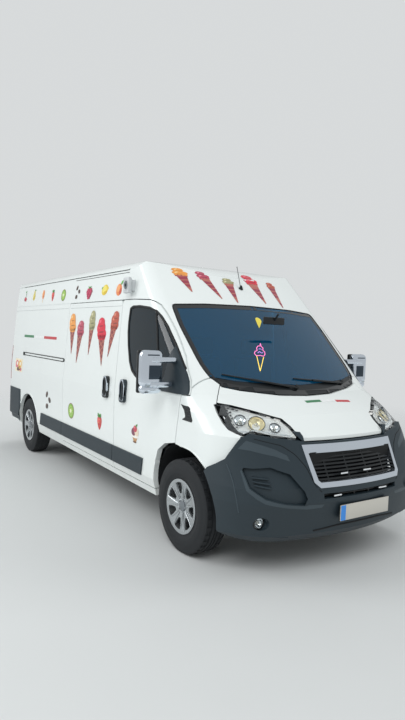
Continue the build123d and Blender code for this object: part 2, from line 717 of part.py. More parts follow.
# Knuckles: name, side of the vehicle
for knuckle_name, side in (("knuckle_right", -1), ("knuckle_left", 1)):
    stub_end = front_track / 2 + stub_reach
    with BuildPart() as knuckle:
        with Locations((front_axle_x, side * 800, 372)):
            Box(90, 44, 190)
        with Locations((front_axle_x, side * (790 + stub_end) / 2, tyre_radius)):
            Cylinder(stub_r, stub_end - 790, rotation=(90, 0, 0))
        with Locations((front_axle_x, side * 752, 560)):
            Cylinder(28, 470)
        with Locations((front_axle_x, side * 776, 440)):
            Box(60, 60, 40)
        with Locations((front_axle_x, side * 840, 277)):
            Box(70, 96, 30)
        with Locations((front_axle_x, side * kingpin_y, 277)):
            Cylinder(kingpin_r + pin_play, 60, mode=Mode.SUBTRACT)
    keep(knuckle_name, knuckle.part)

# Gap between two spokes: out along the gap's middle, then across
spokes = 7
spoke_gap = [(98, -13), (148, -35), (180, -42), (186, 0), (180, 42), (148, 35), (98, 13)]

# Wheels: name ending, axle x, tyre centre y
wheel_table = [
    ("front_left", front_axle_x, front_track / 2),
    ("front_right", front_axle_x, -front_track / 2),
    ("rear_left", rear_axle_x, rear_track / 2),
    ("rear_right", rear_axle_x, -rear_track / 2),
]
for ending, axle_x, wheel_y in wheel_table:
    side = 1 if wheel_y > 0 else -1
    hw = tyre_width / 2
    centre = Plane(origin=(axle_x, wheel_y, tyre_radius), x_dir=(1, 0, 0), z_dir=(0, 0, side))
    spin = Axis((axle_x, wheel_y, tyre_radius), (0, 1, 0))
    with BuildPart() as tyre:
        with BuildSketch(centre):
            with BuildLine():
                Polyline((bead_radius, -82), (bead_radius + 14, -96), (bead_radius + 60, -hw), (bead_radius + 105, -hw))
                Polyline((bead_radius + 105, -hw), (tyre_radius - 12, -94), (tyre_radius, -78), (tyre_radius, 78))
                Polyline((tyre_radius, 78), (tyre_radius - 12, 94), (bead_radius + 105, hw), (bead_radius + 60, hw))
                Polyline((bead_radius + 60, hw), (bead_radius + 14, 96), (bead_radius, 82), (bead_radius, -82))
            make_face()
        revolve(axis=spin)
    keep("tyre_" + ending, tyre.part)
    # The sketch's second direction points outwards on either side
    with BuildPart() as rim:
        with BuildSketch(centre):
            with BuildLine():
                Polyline((0, 60), (60, 66), (150, 78), (196, 88), (211, 97), (211, 101), (190, 100), (150, 92))
                Polyline((150, 92), (60, 82), (0, 78), (0, 60))
            make_face()
        revolve(axis=spin)
        with BuildSketch(centre):
            with BuildLine():
                Polyline((bead_radius, -82), (bead_radius, 90), (bead_radius - 12, 90), (bead_radius - 12, -82),
                         (bead_radius, -82))
            make_face()
        revolve(axis=spin)
        with BuildSketch(centre):
            with BuildLine():
                Polyline((0, -8), (hub_r, -8), (hub_r, 64), (0, 62), (0, -8))
            make_face()
        revolve(axis=spin)
        with BuildSketch(centre):
            with BuildLine():
                Polyline((0, -20), (stub_r + pin_play, -20), (stub_r + pin_play, 42), (0, 42), (0, -20))
            make_face()
        revolve(axis=spin, mode=Mode.SUBTRACT)
        with BuildSketch(Plane(origin=spin.position, x_dir=(1, 0, 0), z_dir=(0, side, 0)).offset(40)):
            with PolarLocations(0, spokes):
                Polygon(*spoke_gap, align=None)
            fillet(vertices(), 8)
        extrude(amount=90, mode=Mode.SUBTRACT)
    keep("rim_" + ending, rim.part)

for name, part in parts.items():
    part.label = name
    export_step(part, f"parts/{name}.step")
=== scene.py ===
"""Looks of a high-roof ice cream van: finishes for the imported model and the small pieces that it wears."""

import logging
import math
from collections.abc import Callable
from dataclasses import dataclass, field
from enum import Enum

import bmesh
import bpy
from bmesh.types import BMesh, BMFace, BMVert
from bpy.types import Material, NodeSocket, ShaderNode
from mathutils import Matrix, Vector
from mathutils.bvhtree import BVHTree


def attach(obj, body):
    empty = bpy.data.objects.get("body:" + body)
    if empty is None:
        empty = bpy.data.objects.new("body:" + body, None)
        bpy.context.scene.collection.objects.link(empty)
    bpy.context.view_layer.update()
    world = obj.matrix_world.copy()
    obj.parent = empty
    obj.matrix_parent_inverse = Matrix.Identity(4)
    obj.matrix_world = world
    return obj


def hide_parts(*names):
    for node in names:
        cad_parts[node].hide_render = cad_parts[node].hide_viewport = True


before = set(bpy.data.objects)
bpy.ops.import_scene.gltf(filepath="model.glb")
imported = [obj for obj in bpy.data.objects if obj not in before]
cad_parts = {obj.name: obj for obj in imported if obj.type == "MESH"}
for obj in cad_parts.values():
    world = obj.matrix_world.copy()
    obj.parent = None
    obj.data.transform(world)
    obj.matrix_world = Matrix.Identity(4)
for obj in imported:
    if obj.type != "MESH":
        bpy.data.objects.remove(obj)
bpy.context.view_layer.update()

log = logging.getLogger("ice_cream_van")
logging.basicConfig(level=logging.INFO, format="%(name)s: %(message)s")

MM_PER_M = 1000.0
Four = tuple[float, float, float, float]
Flat = tuple[float, float]
Spot = tuple[float, float, float]


def srgb(code: str) -> Four:
    """Turn a colour as it is seen into the linear light that the shaders work in.

    Args:
        code: six hex digits with a leading hash.

    Returns:
        Linear red, green, blue and an alpha of one.
    """
    channels = [int(code[i:i + 2], 16) / 255 for i in (1, 3, 5)]
    return (*(c / 12.92 if c <= 0.04045 else ((c + 0.055) / 1.055) ** 2.4 for c in channels), 1.0)


def add_node(mat: Material, kind: str, settings: dict | None = None, links: dict | None = None) -> ShaderNode:
    """Add one node to a material, with its settings and the outputs that feed it.

    Args:
        mat: the material that gets the node.
        kind: Blender's type name of the node, without its ShaderNode prefix.
        settings: socket values by socket name or number, or attributes by name.
        links: outputs of earlier nodes by the name or number of the socket that they feed.

    Returns:
        The new node.
    """
    node = mat.node_tree.nodes.new("ShaderNode" + kind)
    for key, value in (settings or {}).items():
        if isinstance(key, int) or key in node.inputs:
            node.inputs[key].default_value = value
        else:
            setattr(node, key, value)
    for key, output in (links or {}).items():
        mat.node_tree.links.new(output, node.inputs[key])
    return node


def per_metre(size_mm: float) -> float:
    """Scale of a noise whose spots are about this many millimetres across."""
    return MM_PER_M / size_mm


@dataclass(frozen=True)
class Finish:
    """A real material and how its surface was made."""

    name: str
    colour: str
    roughness: float
    metallic: float = 0.0
    ior: float = 1.5
    coat: float = 0.0
    transmission: float = 0.0
    glow: float = 0.0
    # Size of the clouds in its colour, and how far they go from it
    tone_mm: float = 400.0
    tone_shift: float = 0.03
    # Size and depth of its grain. Moulded, cast, brushed and woven grain is too fine to show, so it is drawn as
    # coarse as it needs to show
    grain_mm: float = 0.0
    grain_depth: float = 0.0
    rough_shift: float = 0.05

    def made(self) -> Material:
        """Build the material once and hand out the same one after that.

        Returns:
            The material.
        """
        found = bpy.data.materials.get(self.name)
        if found:
            return found
        mat = bpy.data.materials.new(self.name)
        mat.use_nodes = True
        mat.node_tree.nodes.clear()
        place = add_node(mat, "TexCoord").outputs["Object"]
        settings = {"Metallic": self.metallic, "Coat Weight": self.coat, "Coat Roughness": 0.04,
                    "Transmission Weight": self.transmission}
        if not self.metallic:
            settings["IOR"] = self.ior
        if self.glow:
            settings["Emission Color"] = srgb(self.colour)
            settings["Emission Strength"] = self.glow
        cloud = add_node(mat, "TexNoise", {"Scale": per_metre(self.tone_mm), "Detail": 3.0}, {"Vector": place})
        base = srgb(self.colour)
        low = tuple(c * (1 - self.tone_shift) for c in base[:3]) + (1.0,)
        high = tuple(min(1.0, c * (1 + self.tone_shift)) for c in base[:3]) + (1.0,)
        tone = add_node(mat, "Mix", {"data_type": "RGBA", 6: low, 7: high}, {0: cloud.outputs["Fac"]})
        rough = add_node(mat, "MapRange",
                         {"From Min": 0.3, "From Max": 0.7, "To Min": max(0.0, self.roughness - self.rough_shift / 2),
                          "To Max": min(1.0, self.roughness + self.rough_shift / 2)},
                         {"Value": cloud.outputs["Fac"]})
        links = {"Base Color": self.coloured(mat, place, tone.outputs[2]), "Roughness": rough.outputs["Result"]}
        height = self.relief(mat, place)
        if height:
            bump = add_node(mat, "Bump", {"Strength": 0.6, "Distance": self.grain_depth / MM_PER_M},
                            {"Height": height})
            links["Normal"] = bump.outputs["Normal"]
        skin = add_node(mat, "BsdfPrincipled", settings, links)
        add_node(mat, "OutputMaterial", None, {"Surface": skin.outputs["BSDF"]})
        return mat

    def coloured(self, mat: Material, place: NodeSocket, tone: NodeSocket) -> NodeSocket:
        """Colour output of the finish; a plain finish keeps its clouded tone."""
        return tone

    def relief(self, mat: Material, place: NodeSocket) -> NodeSocket | None:
        """Make the height of the surface grain.

        Args:
            mat: the material.
            place: the place on the piece.

        Returns:
            The height, or None where the surface is smooth.
        """
        if not self.grain_mm:
            return None
        grain = add_node(mat, "TexNoise", {"Scale": per_metre(self.grain_mm), "Detail": 4.0}, {"Vector": place})
        return grain.outputs["Fac"]


@dataclass(frozen=True)
class SprayedPaint(Finish):
    """Gloss body paint: a clear coat over white, with road dust that thins out upwards."""

    dust: str = "#b9b5aa"
    # Heights in metres between which it thins out, and its share at the lower one
    dust_foot: float = 0.3
    dust_top: float = 0.75
    dust_share: float = 0.3
    # Width of its patches, which are three times as tall
    patch_mm: float = 69.44

    def coloured(self, mat: Material, place: NodeSocket, tone: NodeSocket) -> NodeSocket:
        """Mix a thin film of dust into the lowest part of the panels.

        Args:
            mat: the material.
            place: the place on the piece.
            tone: the clouded colour of the finish.

        Returns:
            The colour to use.
        """
        apart = add_node(mat, "SeparateXYZ", None, {0: place})
        low = add_node(mat, "MapRange",
                       {"From Min": self.dust_foot, "From Max": self.dust_top, "To Min": self.dust_share,
                        "To Max": 0.0}, {"Value": apart.outputs["Z"]})
        streak = add_node(mat, "Mapping", {"Scale": (1.0, 1.0, 1 / 3)}, {"Vector": place})
        patch = add_node(mat, "TexNoise", {"Scale": per_metre(self.patch_mm), "Detail": 5.0},
                         {"Vector": streak.outputs[0]})
        amount = add_node(mat, "Math", {"operation": "MULTIPLY"},
                          {0: low.outputs["Result"], 1: patch.outputs["Fac"]})
        film = add_node(mat, "Mix", {"data_type": "RGBA", 7: srgb(self.dust)}, {0: amount.outputs[0], 6: tone})
        return film.outputs[2]


@dataclass(frozen=True)
class WafflePrint(Finish):
    """Printed vinyl that shows the crossed ridges of a rolled wafer cone."""

    # Distance from ridge to ridge, and the metres in which a band texture of scale 1 repeats
    ridge_mm: float = 52.0
    band_run: float = math.tau / 20
    ridge: str = "#c27a66"

    def coloured(self, mat: Material, place: NodeSocket, tone: NodeSocket) -> NodeSocket:
        """Draw two families of slanted ridges over the wafer's colour.

        Args:
            mat: the material.
            place: the place on the piece.
            tone: the clouded colour of the finish.

        Returns:
            The colour to use.
        """
        lines = []
        for lean in (math.radians(32), math.radians(-32)):
            turned = add_node(mat, "Mapping", {"Rotation": (0.0, lean, 0.0)}, {"Vector": place})
            bands = add_node(mat, "TexWave",
                             {"bands_direction": "Z", "Scale": per_metre(self.ridge_mm) * self.band_run,
                              "Distortion": 0.0}, {"Vector": turned.outputs[0]})
            thin = add_node(mat, "MapRange", {"From Min": 0.72, "From Max": 0.95},
                            {"Value": bands.outputs["Fac"]})
            lines.append(thin.outputs["Result"])
        both_ways = add_node(mat, "Math", {"operation": "MAXIMUM"}, {0: lines[0], 1: lines[1]})
        faded = add_node(mat, "Math", {"operation": "MULTIPLY", 1: 0.7}, {0: both_ways.outputs[0]})
        drawn = add_node(mat, "Mix", {"data_type": "RGBA", 7: srgb(self.ridge)}, {0: faded.outputs[0], 6: tone})
        return drawn.outputs[2]


def vinyl(name: str, colour: str) -> Finish:
    """Printed vinyl film in one colour, clouded a little as a print is.

    Args:
        name: what the film shows.
        colour: its colour as it is seen.

    Returns:
        The finish of that film.
    """
    return Finish(f"printed_vinyl_{name}", colour, 0.3, coat=0.25, tone_mm=35.0, tone_shift=0.16)


def deeper(code: str) -> str:
    """The same colour with a third less light."""
    return "#" + "".join(f"{int(int(code[i:i + 2], 16) * 0.72):02x}" for i in (1, 3, 5))


# Sprayed and clear-coated steel: an even cool white with sharp reflections
WHITE_PAINT = SprayedPaint("clear_coated_white_paint", "#e6eceb", 0.22, coat=0.6, tone_shift=0.012,
                           grain_mm=9.0, grain_depth=0.05)
# Moulded polypropylene, grained and unpainted: a flat dark grey that scatters light
GREY_PLASTIC = Finish("grained_polypropylene", "#253138", 0.52, tone_shift=0.1, grain_mm=3.0, grain_depth=0.35)
# Black ABS trim, nearly smooth
BLACK_PLASTIC = Finish("black_abs", "#14181b", 0.35, tone_shift=0.1, grain_mm=4.0, grain_depth=0.15)
# Plated trim: a mirror with a faint haze
CHROME = Finish("chrome_plate", "#e4ecf6", 0.2, metallic=1.0, rough_shift=0.03)
# Tempered door glass with a dark tint: a dim view of the cab
DOOR_GLASS = Finish("dark_door_glass", "#14303d", 0.02, transmission=0.7, ior=1.52, rough_shift=0.01)
# Laminated windscreen glass; its faint glow stands for the sky that it mirrors
TINTED_GLASS = Finish("tinted_safety_glass", "#14688f", 0.02, transmission=0.85, glow=0.1, ior=1.52,
                      rough_shift=0.01)
# Clear polycarbonate lamp covers: seen only by what they mirror
CLEAR_LENS = Finish("clear_polycarbonate", "#f2f6f7", 0.02, transmission=1.0, ior=1.5, rough_shift=0.01)
# Red acrylic of the tail lamps, coloured all through
RED_LENS = Finish("red_acrylic", "#b3140f", 0.1, transmission=0.35, coat=0.5)
# Vulcanised rubber: matt, greyed by the road
RUBBER = Finish("tyre_rubber", "#202326", 0.78, tone_mm=60.0, tone_shift=0.22, grain_mm=5.0, grain_depth=0.5)
# Wheel lacquer: silver flakes under a clear coat
SILVER_LACQUER = Finish("silver_wheel_lacquer", "#b4b9bc", 0.27, metallic=0.85, coat=0.5)
# Chassis paint over welded steel: black with dust on it
CHASSIS_BLACK = Finish("chassis_black", "#191b1c", 0.6, tone_mm=90.0, tone_shift=0.3, grain_mm=8.0,
                       grain_depth=0.6)
# Phenolic floor board with a pressed anti-slip grain
FLOOR_BOARD = Finish("grey_floor_board", "#6e7375", 0.62, tone_mm=150.0, tone_shift=0.08, grain_mm=6.0,
                     grain_depth=0.5)
# Sand-cast aluminium of the engine and axle: rough dull metal
CAST_METAL = Finish("cast_aluminium", "#7f8386", 0.48, metallic=0.9, grain_mm=5.0, grain_depth=0.8)
# Woven seat cloth: charcoal, without gloss
SEAT_CLOTH = Finish("woven_seat_cloth", "#3c444b", 0.9, tone_mm=30.0, tone_shift=0.12, grain_mm=3.0,
                    grain_depth=0.6)
# Reflective number plate sheet, left blank: a dull even white
PLATE_WHITE = Finish("reflective_plate_sheet", "#c4c1b8", 0.4, coat=0.3, tone_shift=0.01)
# Brushed stainless steel of the serving cabinet: a soft mirror with a faint grain
BRUSHED_STEEL = Finish("brushed_stainless_steel", "#c2c5c7", 0.3, metallic=1.0, grain_mm=2.5, grain_depth=0.05)
# Mild steel exhaust, browned by heat
EXHAUST_STEEL = Finish("heat_browned_steel", "#6d625a", 0.55, metallic=0.8, tone_mm=70.0, tone_shift=0.25)
# The same polypropylene, lighter as a painted highlight where the moulding turns towards the sky
SHEEN_PLASTIC = Finish("polypropylene_painted_highlight", "#3a464d", 0.46, tone_shift=0.08, grain_mm=4.0, grain_depth=0.2)
# Chrome darkened as a painted reflection, where the mirrors see the van and the ground
DARK_CHROME = Finish("chrome_painted_dark_reflection", "#47525c", 0.15, metallic=1.0, rough_shift=0.03)
# Moulded ABS case of the horn speaker: pale grey with a soft gloss
SPEAKER_GREY = Finish("pale_grey_abs", "#c6cacc", 0.4, tone_shift=0.04, grain_mm=4.0, grain_depth=0.1)
# Wheel centre caps, lacquered ABS: a flatter grey than the wheel
WHEEL_GREY = Finish("grey_cap_lacquer", "#7d8388", 0.32, metallic=0.5, tone_shift=0.03)
# Aluminised lamp reflectors: nearly a mirror
REFLECTOR = Finish("aluminised_reflector", "#eceef0", 0.06, metallic=1.0, rough_shift=0.02)
# Satin aluminised lamp housing; its faint glow stands for the daylight in it
LAMP_SILVER = Finish("satin_aluminised_housing", "#fbfbf8", 0.2, metallic=0.1, glow=0.12, tone_mm=30.0,
                     tone_shift=0.1, grain_mm=16.0, grain_depth=2.0)
# Aluminised bowls that mirror warm light; their faint glow stands for that light
WARM_REFLECTOR = Finish("warm_lit_reflector", "#f8e2b2", 0.14, metallic=0.2, glow=0.1, tone_mm=25.0,
                        tone_shift=0.2)
# Moulded bezel inside the lamps: dark grey with a slight sheen
BEZEL_GREY = Finish("lamp_bezel_grey", "#4b5257", 0.3, metallic=0.3)
# Frosted bulb glass: warm white
BULB_GLASS = Finish("frosted_bulb_glass", "#f3efe2", 0.2, coat=0.5)
# Moulded light guide of the daytime lamps: milky white
LIGHT_STRIP = Finish("milky_light_guide", "#e9edf0", 0.18, coat=0.6)
# Shadowed gaps and openings, dull black
GAP_BLACK = Finish("shadow_gap_black", "#0c0e10", 0.7, tone_shift=0.1)
# Painted shade in the press lines and the fuel flap's shut line on the white panels: a flat grey
SHADE_GREY = Finish("painted_shade_grey", "#8d9395", 0.7, tone_shift=0.08)
# Blue band printed on a reflective plate: even and clear
PLATE_BLUE = Finish("blue_plate_band", "#2a86dd", 0.32, coat=0.3, tone_shift=0.02)
# Black ceramic frit fired onto glass: glossy and deep
CERAMIC_FRIT = Finish("fired_ceramic_frit", "#0b0e12", 0.08, coat=0.8, tone_shift=0.02, rough_shift=0.02)
# Extruded window rubber: dull black
SEAL_RUBBER = Finish("extruded_seal_rubber", "#101214", 0.6, tone_mm=50.0, tone_shift=0.15)
# Silvered mirror glass: a clean mirror
SILVERED_GLASS = Finish("silvered_glass", "#cfd8dc", 0.02, metallic=1.0, rough_shift=0.01)
# Lit glass tubes of the sign: bright even colours
NEON_YELLOW = Finish("lit_yellow_tube", "#f4d35a", 0.3, glow=0.9)
NEON_PINK = Finish("lit_pink_tube", "#f07ab8", 0.3, glow=0.9)
NEON_VIOLET = Finish("lit_violet_tube", "#b98ae8", 0.3, glow=0.9)
# Needle felt of the arch liners: black and dusty
FELT_LINER = Finish("needle_felt_liner", "#1d2022", 0.95, tone_mm=50.0, tone_shift=0.3, grain_mm=5.0,
                    grain_depth=0.8)
# Amber and clear acrylic of the tail lamps: deep with a wet gloss
AMBER_LENS = Finish("amber_acrylic", "#d9771c", 0.12, transmission=0.3, coat=0.5)
WHITE_LENS = Finish("ribbed_clear_acrylic", "#dfe3e4", 0.16, transmission=0.25, coat=0.5)
# Printed vinyl of the stripes: flat green, white and red
STRIPES = [vinyl("stripe_green", "#27784a"), vinyl("stripe_white", "#e9ecec"), vinyl("stripe_red", "#c02a34")]


# The two hands of the van and the sign of Y on each
HANDS = (("right", -1), ("left", 1))


def both(*names: str) -> list[str]:
    """Names of the right and left node for each name."""
    return [f"{name}_{hand}" for name in names for hand, _ in HANDS]


NODE_FINISH = {
    WHITE_PAINT: ["roof_panel", "bonnet", "sliding_door", "bulkhead", "roof_gutters",
                  *both("body_side", "wing", "front_door", "rear_door")],
    GREY_PLASTIC: ["front_bumper", "rear_bumper", "side_strips", "dashboard", *both("door_strip", "mirror_base")],
    BLACK_PLASTIC: ["grille_slats", "cowl_panel", "wipers", "slide_rail", "horn_speaker", "steering_wheel",
                    *both("mirror_head")],
    CHROME: ["grille_frame"],
    TINTED_GLASS: ["windscreen"],
    DOOR_GLASS: both("door_glass"),
    CLEAR_LENS: ["headlamps", "fog_lamps"],
    RED_LENS: ["tail_lamps"],
    RUBBER: both("tyre_front", "tyre_rear"),
    SILVER_LACQUER: both("rim_front", "rim_rear"),
    CHASSIS_BLACK: ["front_subframe", "rear_axle", "fuel_tank", "spare_wheel", "radiator"],
    FLOOR_BOARD: ["floor_pan", "toe_board"],
    FELT_LINER: ["wheel_boxes"],
    CAST_METAL: ["engine_block", *both("knuckle")],
    SEAT_CLOTH: ["seats"],
    PLATE_WHITE: ["number_plate"],
    BRUSHED_STEEL: ["gelato_cabinet"],
    EXHAUST_STEEL: ["exhaust"],
}


def wear(node: str, finish: Finish) -> None:
    """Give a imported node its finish.

    Args:
        node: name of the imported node.
        finish: what it is made of.
    """
    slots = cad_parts[node].data.materials
    slots.clear()
    slots.append(finish.made())


def round_edges(bm: BMesh, edges: list, radius: float, segments: int) -> None:
    """Round edges over with the bevel operator."""
    bmesh.ops.bevel(bm, geom=edges, offset=radius, offset_type="OFFSET", affect="EDGES", segments=segments,
                    profile=0.5, material=-1, clamp_overlap=True)


def dice(bm: BMesh, step: float) -> None:
    """Cut a flat sheet along a grid, so that it can follow a curved panel.

    Args:
        bm: the sheet.
        step: widest cell of the grid.
    """
    for axis in range(3):
        low, high = min(v.co[axis] for v in bm.verts), max(v.co[axis] for v in bm.verts)
        count = int((high - low) / step)
        for i in range(1, count + 1):
            spot, across = Vector((0, 0, 0)), Vector((0, 0, 0))
            spot[axis], across[axis] = low + (high - low) * i / (count + 1), 1.0
            bmesh.ops.bisect_plane(bm, geom=list(bm.verts) + list(bm.edges) + list(bm.faces), dist=0.01,
                                   plane_co=spot, plane_no=across)


def verts_of(geometry: list) -> list[BMVert]:
    """The vertices among mixed elements of a mesh."""
    return [g for g in geometry if isinstance(g, BMVert)]


def draw_out(bm: BMesh, faces: list, way: Vector, keep: bool = True) -> list:
    """Extrude faces along a vector.

    Args:
        bm: the mesh.
        faces: what is drawn out.
        way: how far and where to.
        keep: whether the faces also stay where they were.

    Returns:
        All that is new, moved into place.
    """
    grown = bmesh.ops.extrude_face_region(bm, geom=faces, use_keep_orig=keep)["geom"]
    bmesh.ops.translate(bm, vec=way, verts=verts_of(grown))
    return grown


class Form:
    """One piece in the making: a mesh in millimetres, in the van's own frame."""

    def __init__(self) -> None:
        """Start with an empty mesh."""
        self.bm = bmesh.new()
        self.paint = 0

    def add(self, shape: BMesh) -> None:
        """Add a finished shape in the current paint, and drop it.

        Args:
            shape: the mesh to add.
        """
        for face in shape.faces:
            face.material_index = self.paint
        mesh = bpy.data.meshes.new("shape")
        shape.to_mesh(mesh)
        shape.free()
        self.bm.from_mesh(mesh)
        bpy.data.meshes.remove(mesh)

    def flat(self, outline: list) -> BMFace:
        """Add one flat face.

        Args:
            outline: its corners.

        Returns:
            The face.
        """
        face = self.bm.faces.new([self.bm.verts.new(p) for p in outline])
        face.normal_update()
        return face

    def block(self, low: tuple, high: tuple, rounding: float = 0.0, segments: int = 2) -> None:
        """Add a block with rounded edges.

        Args:
            low: lowest corner.
            high: highest corner.
            rounding: radius of its edges.
            segments: facets across each rounded edge.
        """
        shape = bmesh.new()
        verts = bmesh.ops.create_cube(shape, size=1.0)["verts"]
        low, high = Vector(low), Vector(high)
        bmesh.ops.scale(shape, vec=high - low, verts=verts)
        bmesh.ops.translate(shape, vec=(low + high) / 2, verts=verts)
        if rounding:
            round_edges(shape, list(shape.edges), rounding, segments)
        self.add(shape)

    def blocks(self, rows: list) -> None:
        """Add blocks from a table.

        Args:
            rows: paint, lowest corner, highest corner, rounding and facets of each block.
        """
        for paint, low, high, rounding, segments in rows:
            self.paint = paint
            self.block(low, high, rounding, segments)

    def slab(self, outline: list, depth: tuple, rounding: float = 0.0, segments: int = 2) -> None:
        """Add a plate from a closed outline of points, drawn out along a vector.

        Args:
            outline: corner points of its first side.
            depth: way from the first side to the other.
            rounding: radius of the edges round the other side.
            segments: facets across each rounded edge.
        """
        plate = Form()
        moved = set(verts_of(draw_out(plate.bm, [plate.flat(outline)], Vector(depth))))
        if rounding:
            rim = {e for v in moved for e in v.link_edges if e.verts[0] in moved and e.verts[1] in moved}
            round_edges(plate.bm, list(rim), rounding, segments)
        self.add(plate.bm)

    def lathe(self, profile: list[Flat], centre: tuple, axis: tuple, steps: int = 48,
              closed: bool = False) -> None:
        """Turn a profile about an axis.

        Args:
            profile: distance from the axis and way along it, point by point.
            centre: where the axis starts.
            axis: direction of the axis.
            steps: facets round a full turn.
            closed: whether the profile's ends are joined.
        """
        shape = bmesh.new()
        centre, axis = Vector(centre), Vector(axis).normalized()
        out = axis.orthogonal().normalized()
        verts = [shape.verts.new(centre + out * r + axis * w) for r, w in profile]
        pairs = list(zip(verts, verts[1:])) + ([(verts[-1], verts[0])] if closed else [])
        edges = [shape.edges.new(p) for p in pairs]
        bmesh.ops.spin(shape, geom=verts + edges, cent=centre, axis=axis, angle=math.tau, steps=steps,
                       use_merge=True)
        bmesh.ops.remove_doubles(shape, verts=shape.verts, dist=0.01)
        self.add(shape)

    def rod(self, points: list, radius: float, smooth: bool = False, resolution: int = 2) -> None:
        """Add a round bar along a line of points.

        Args:
            points: the points of its middle line.
            radius: half its thickness.
            smooth: whether it bends in curves, not corners.
            resolution: facets across a quarter of its section.
        """
        curve = bpy.data.curves.new("bar", "CURVE")
        curve.dimensions = "3D"
        curve.bevel_depth = radius
        curve.bevel_resolution = resolution
        curve.use_fill_caps = True
        line = curve.splines.new("NURBS" if smooth else "POLY")
        line.points.add(len(points) - 1)
        for point, spot in zip(line.points, points):
            point.co = (*spot, 1.0)
        line.use_endpoint_u = True
        line.order_u = 3
        holder = bpy.data.objects.new("bar", curve)
        mesh = bpy.data.meshes.new_from_object(holder)
        bpy.data.objects.remove(holder)
        bpy.data.curves.remove(curve)
        shape = bmesh.new()
        shape.from_mesh(mesh)
        bpy.data.meshes.remove(mesh)
        self.add(shape)

    def ball(self, centre: tuple, sizes: tuple) -> None:
        """Add a rounded lump.

        Args:
            centre: its middle.
            sizes: half of its size along each axis.
        """
        shape = bmesh.new()
        verts = bmesh.ops.create_icosphere(shape, subdivisions=3, radius=1.0)["verts"]
        bmesh.ops.scale(shape, vec=Vector(sizes), verts=verts)
        bmesh.ops.translate(shape, vec=Vector(centre), verts=verts)
        self.add(shape)

    def film(self, outline: list, skin: "Skin", way: tuple, lift: float = 1.2, thick: float = 0.8,
             step: float = 70.0, rim: float = 0.0) -> None:
        """Lay a thin film with the given outline on the body.

        Args:
            outline: corner points, anywhere in front of the surface.
            skin: the surface it lies on.
            way: direction in which the outline is pushed onto the surface.
            lift: height of the film's outer face over the surface.
            thick: thickness of the film.
            step: longest run of the film without a vertex.
            rim: width of the band that is kept, or 0 for the whole.
        """
        sheet = Form()
        faces = [sheet.flat(outline)]
        if rim:
            bmesh.ops.inset_region(sheet.bm, faces=faces, thickness=rim, use_even_offset=True, use_boundary=True)
            bmesh.ops.delete(sheet.bm, geom=faces, context="FACES_ONLY")
        else:
            bmesh.ops.triangulate(sheet.bm, faces=faces, ngon_method="EAR_CLIP")
        dice(sheet.bm, step)
        way = Vector(way).normalized()
        lost = [v for v in sheet.bm.verts if not skin.land(v, way, lift)]
        bmesh.ops.delete(sheet.bm, geom=lost, context="VERTS")
        draw_out(sheet.bm, list(sheet.bm.faces), way * thick)
        bmesh.ops.recalc_face_normals(sheet.bm, faces=sheet.bm.faces)
        self.add(sheet.bm)

    def mirrored(self) -> None:
        """Add the same shapes on the other side of the van."""
        whole = list(self.bm.verts) + list(self.bm.edges) + list(self.bm.faces)
        copies = bmesh.ops.duplicate(self.bm, geom=whole)["geom"]
        bmesh.ops.scale(self.bm, vec=(1, -1, 1), verts=verts_of(copies))
        bmesh.ops.reverse_faces(self.bm, faces=[g for g in copies if isinstance(g, BMFace)])

    def finish(self, name: str, finishes: list[Finish], slot: str, replaces: tuple = (), body: str = "body",
               sharp: float = 34.0) -> bpy.types.Object:
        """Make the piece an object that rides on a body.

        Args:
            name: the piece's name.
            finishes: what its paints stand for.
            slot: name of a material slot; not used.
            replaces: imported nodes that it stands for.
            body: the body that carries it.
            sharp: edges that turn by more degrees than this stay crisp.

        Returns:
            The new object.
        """
        bmesh.ops.remove_doubles(self.bm, verts=self.bm.verts, dist=0.01)
        bmesh.ops.recalc_face_normals(self.bm, faces=self.bm.faces)
        bmesh.ops.scale(self.bm, vec=Vector((1, 1, 1)) / MM_PER_M, verts=self.bm.verts)
        mesh = bpy.data.meshes.new(name)
        self.bm.to_mesh(mesh)
        self.bm.free()
        mesh.shade_smooth()
        mesh.set_sharp_from_angle(angle=math.radians(sharp))
        for finish in finishes:
            mesh.materials.append(finish.made())
        piece = bpy.data.objects.new(name, mesh)
        bpy.context.collection.objects.link(piece)
        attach(piece, body)
        if replaces:
            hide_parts(*replaces)
        log.info("%s rides on %s with %d faces", name, body, len(mesh.polygons))
        return piece


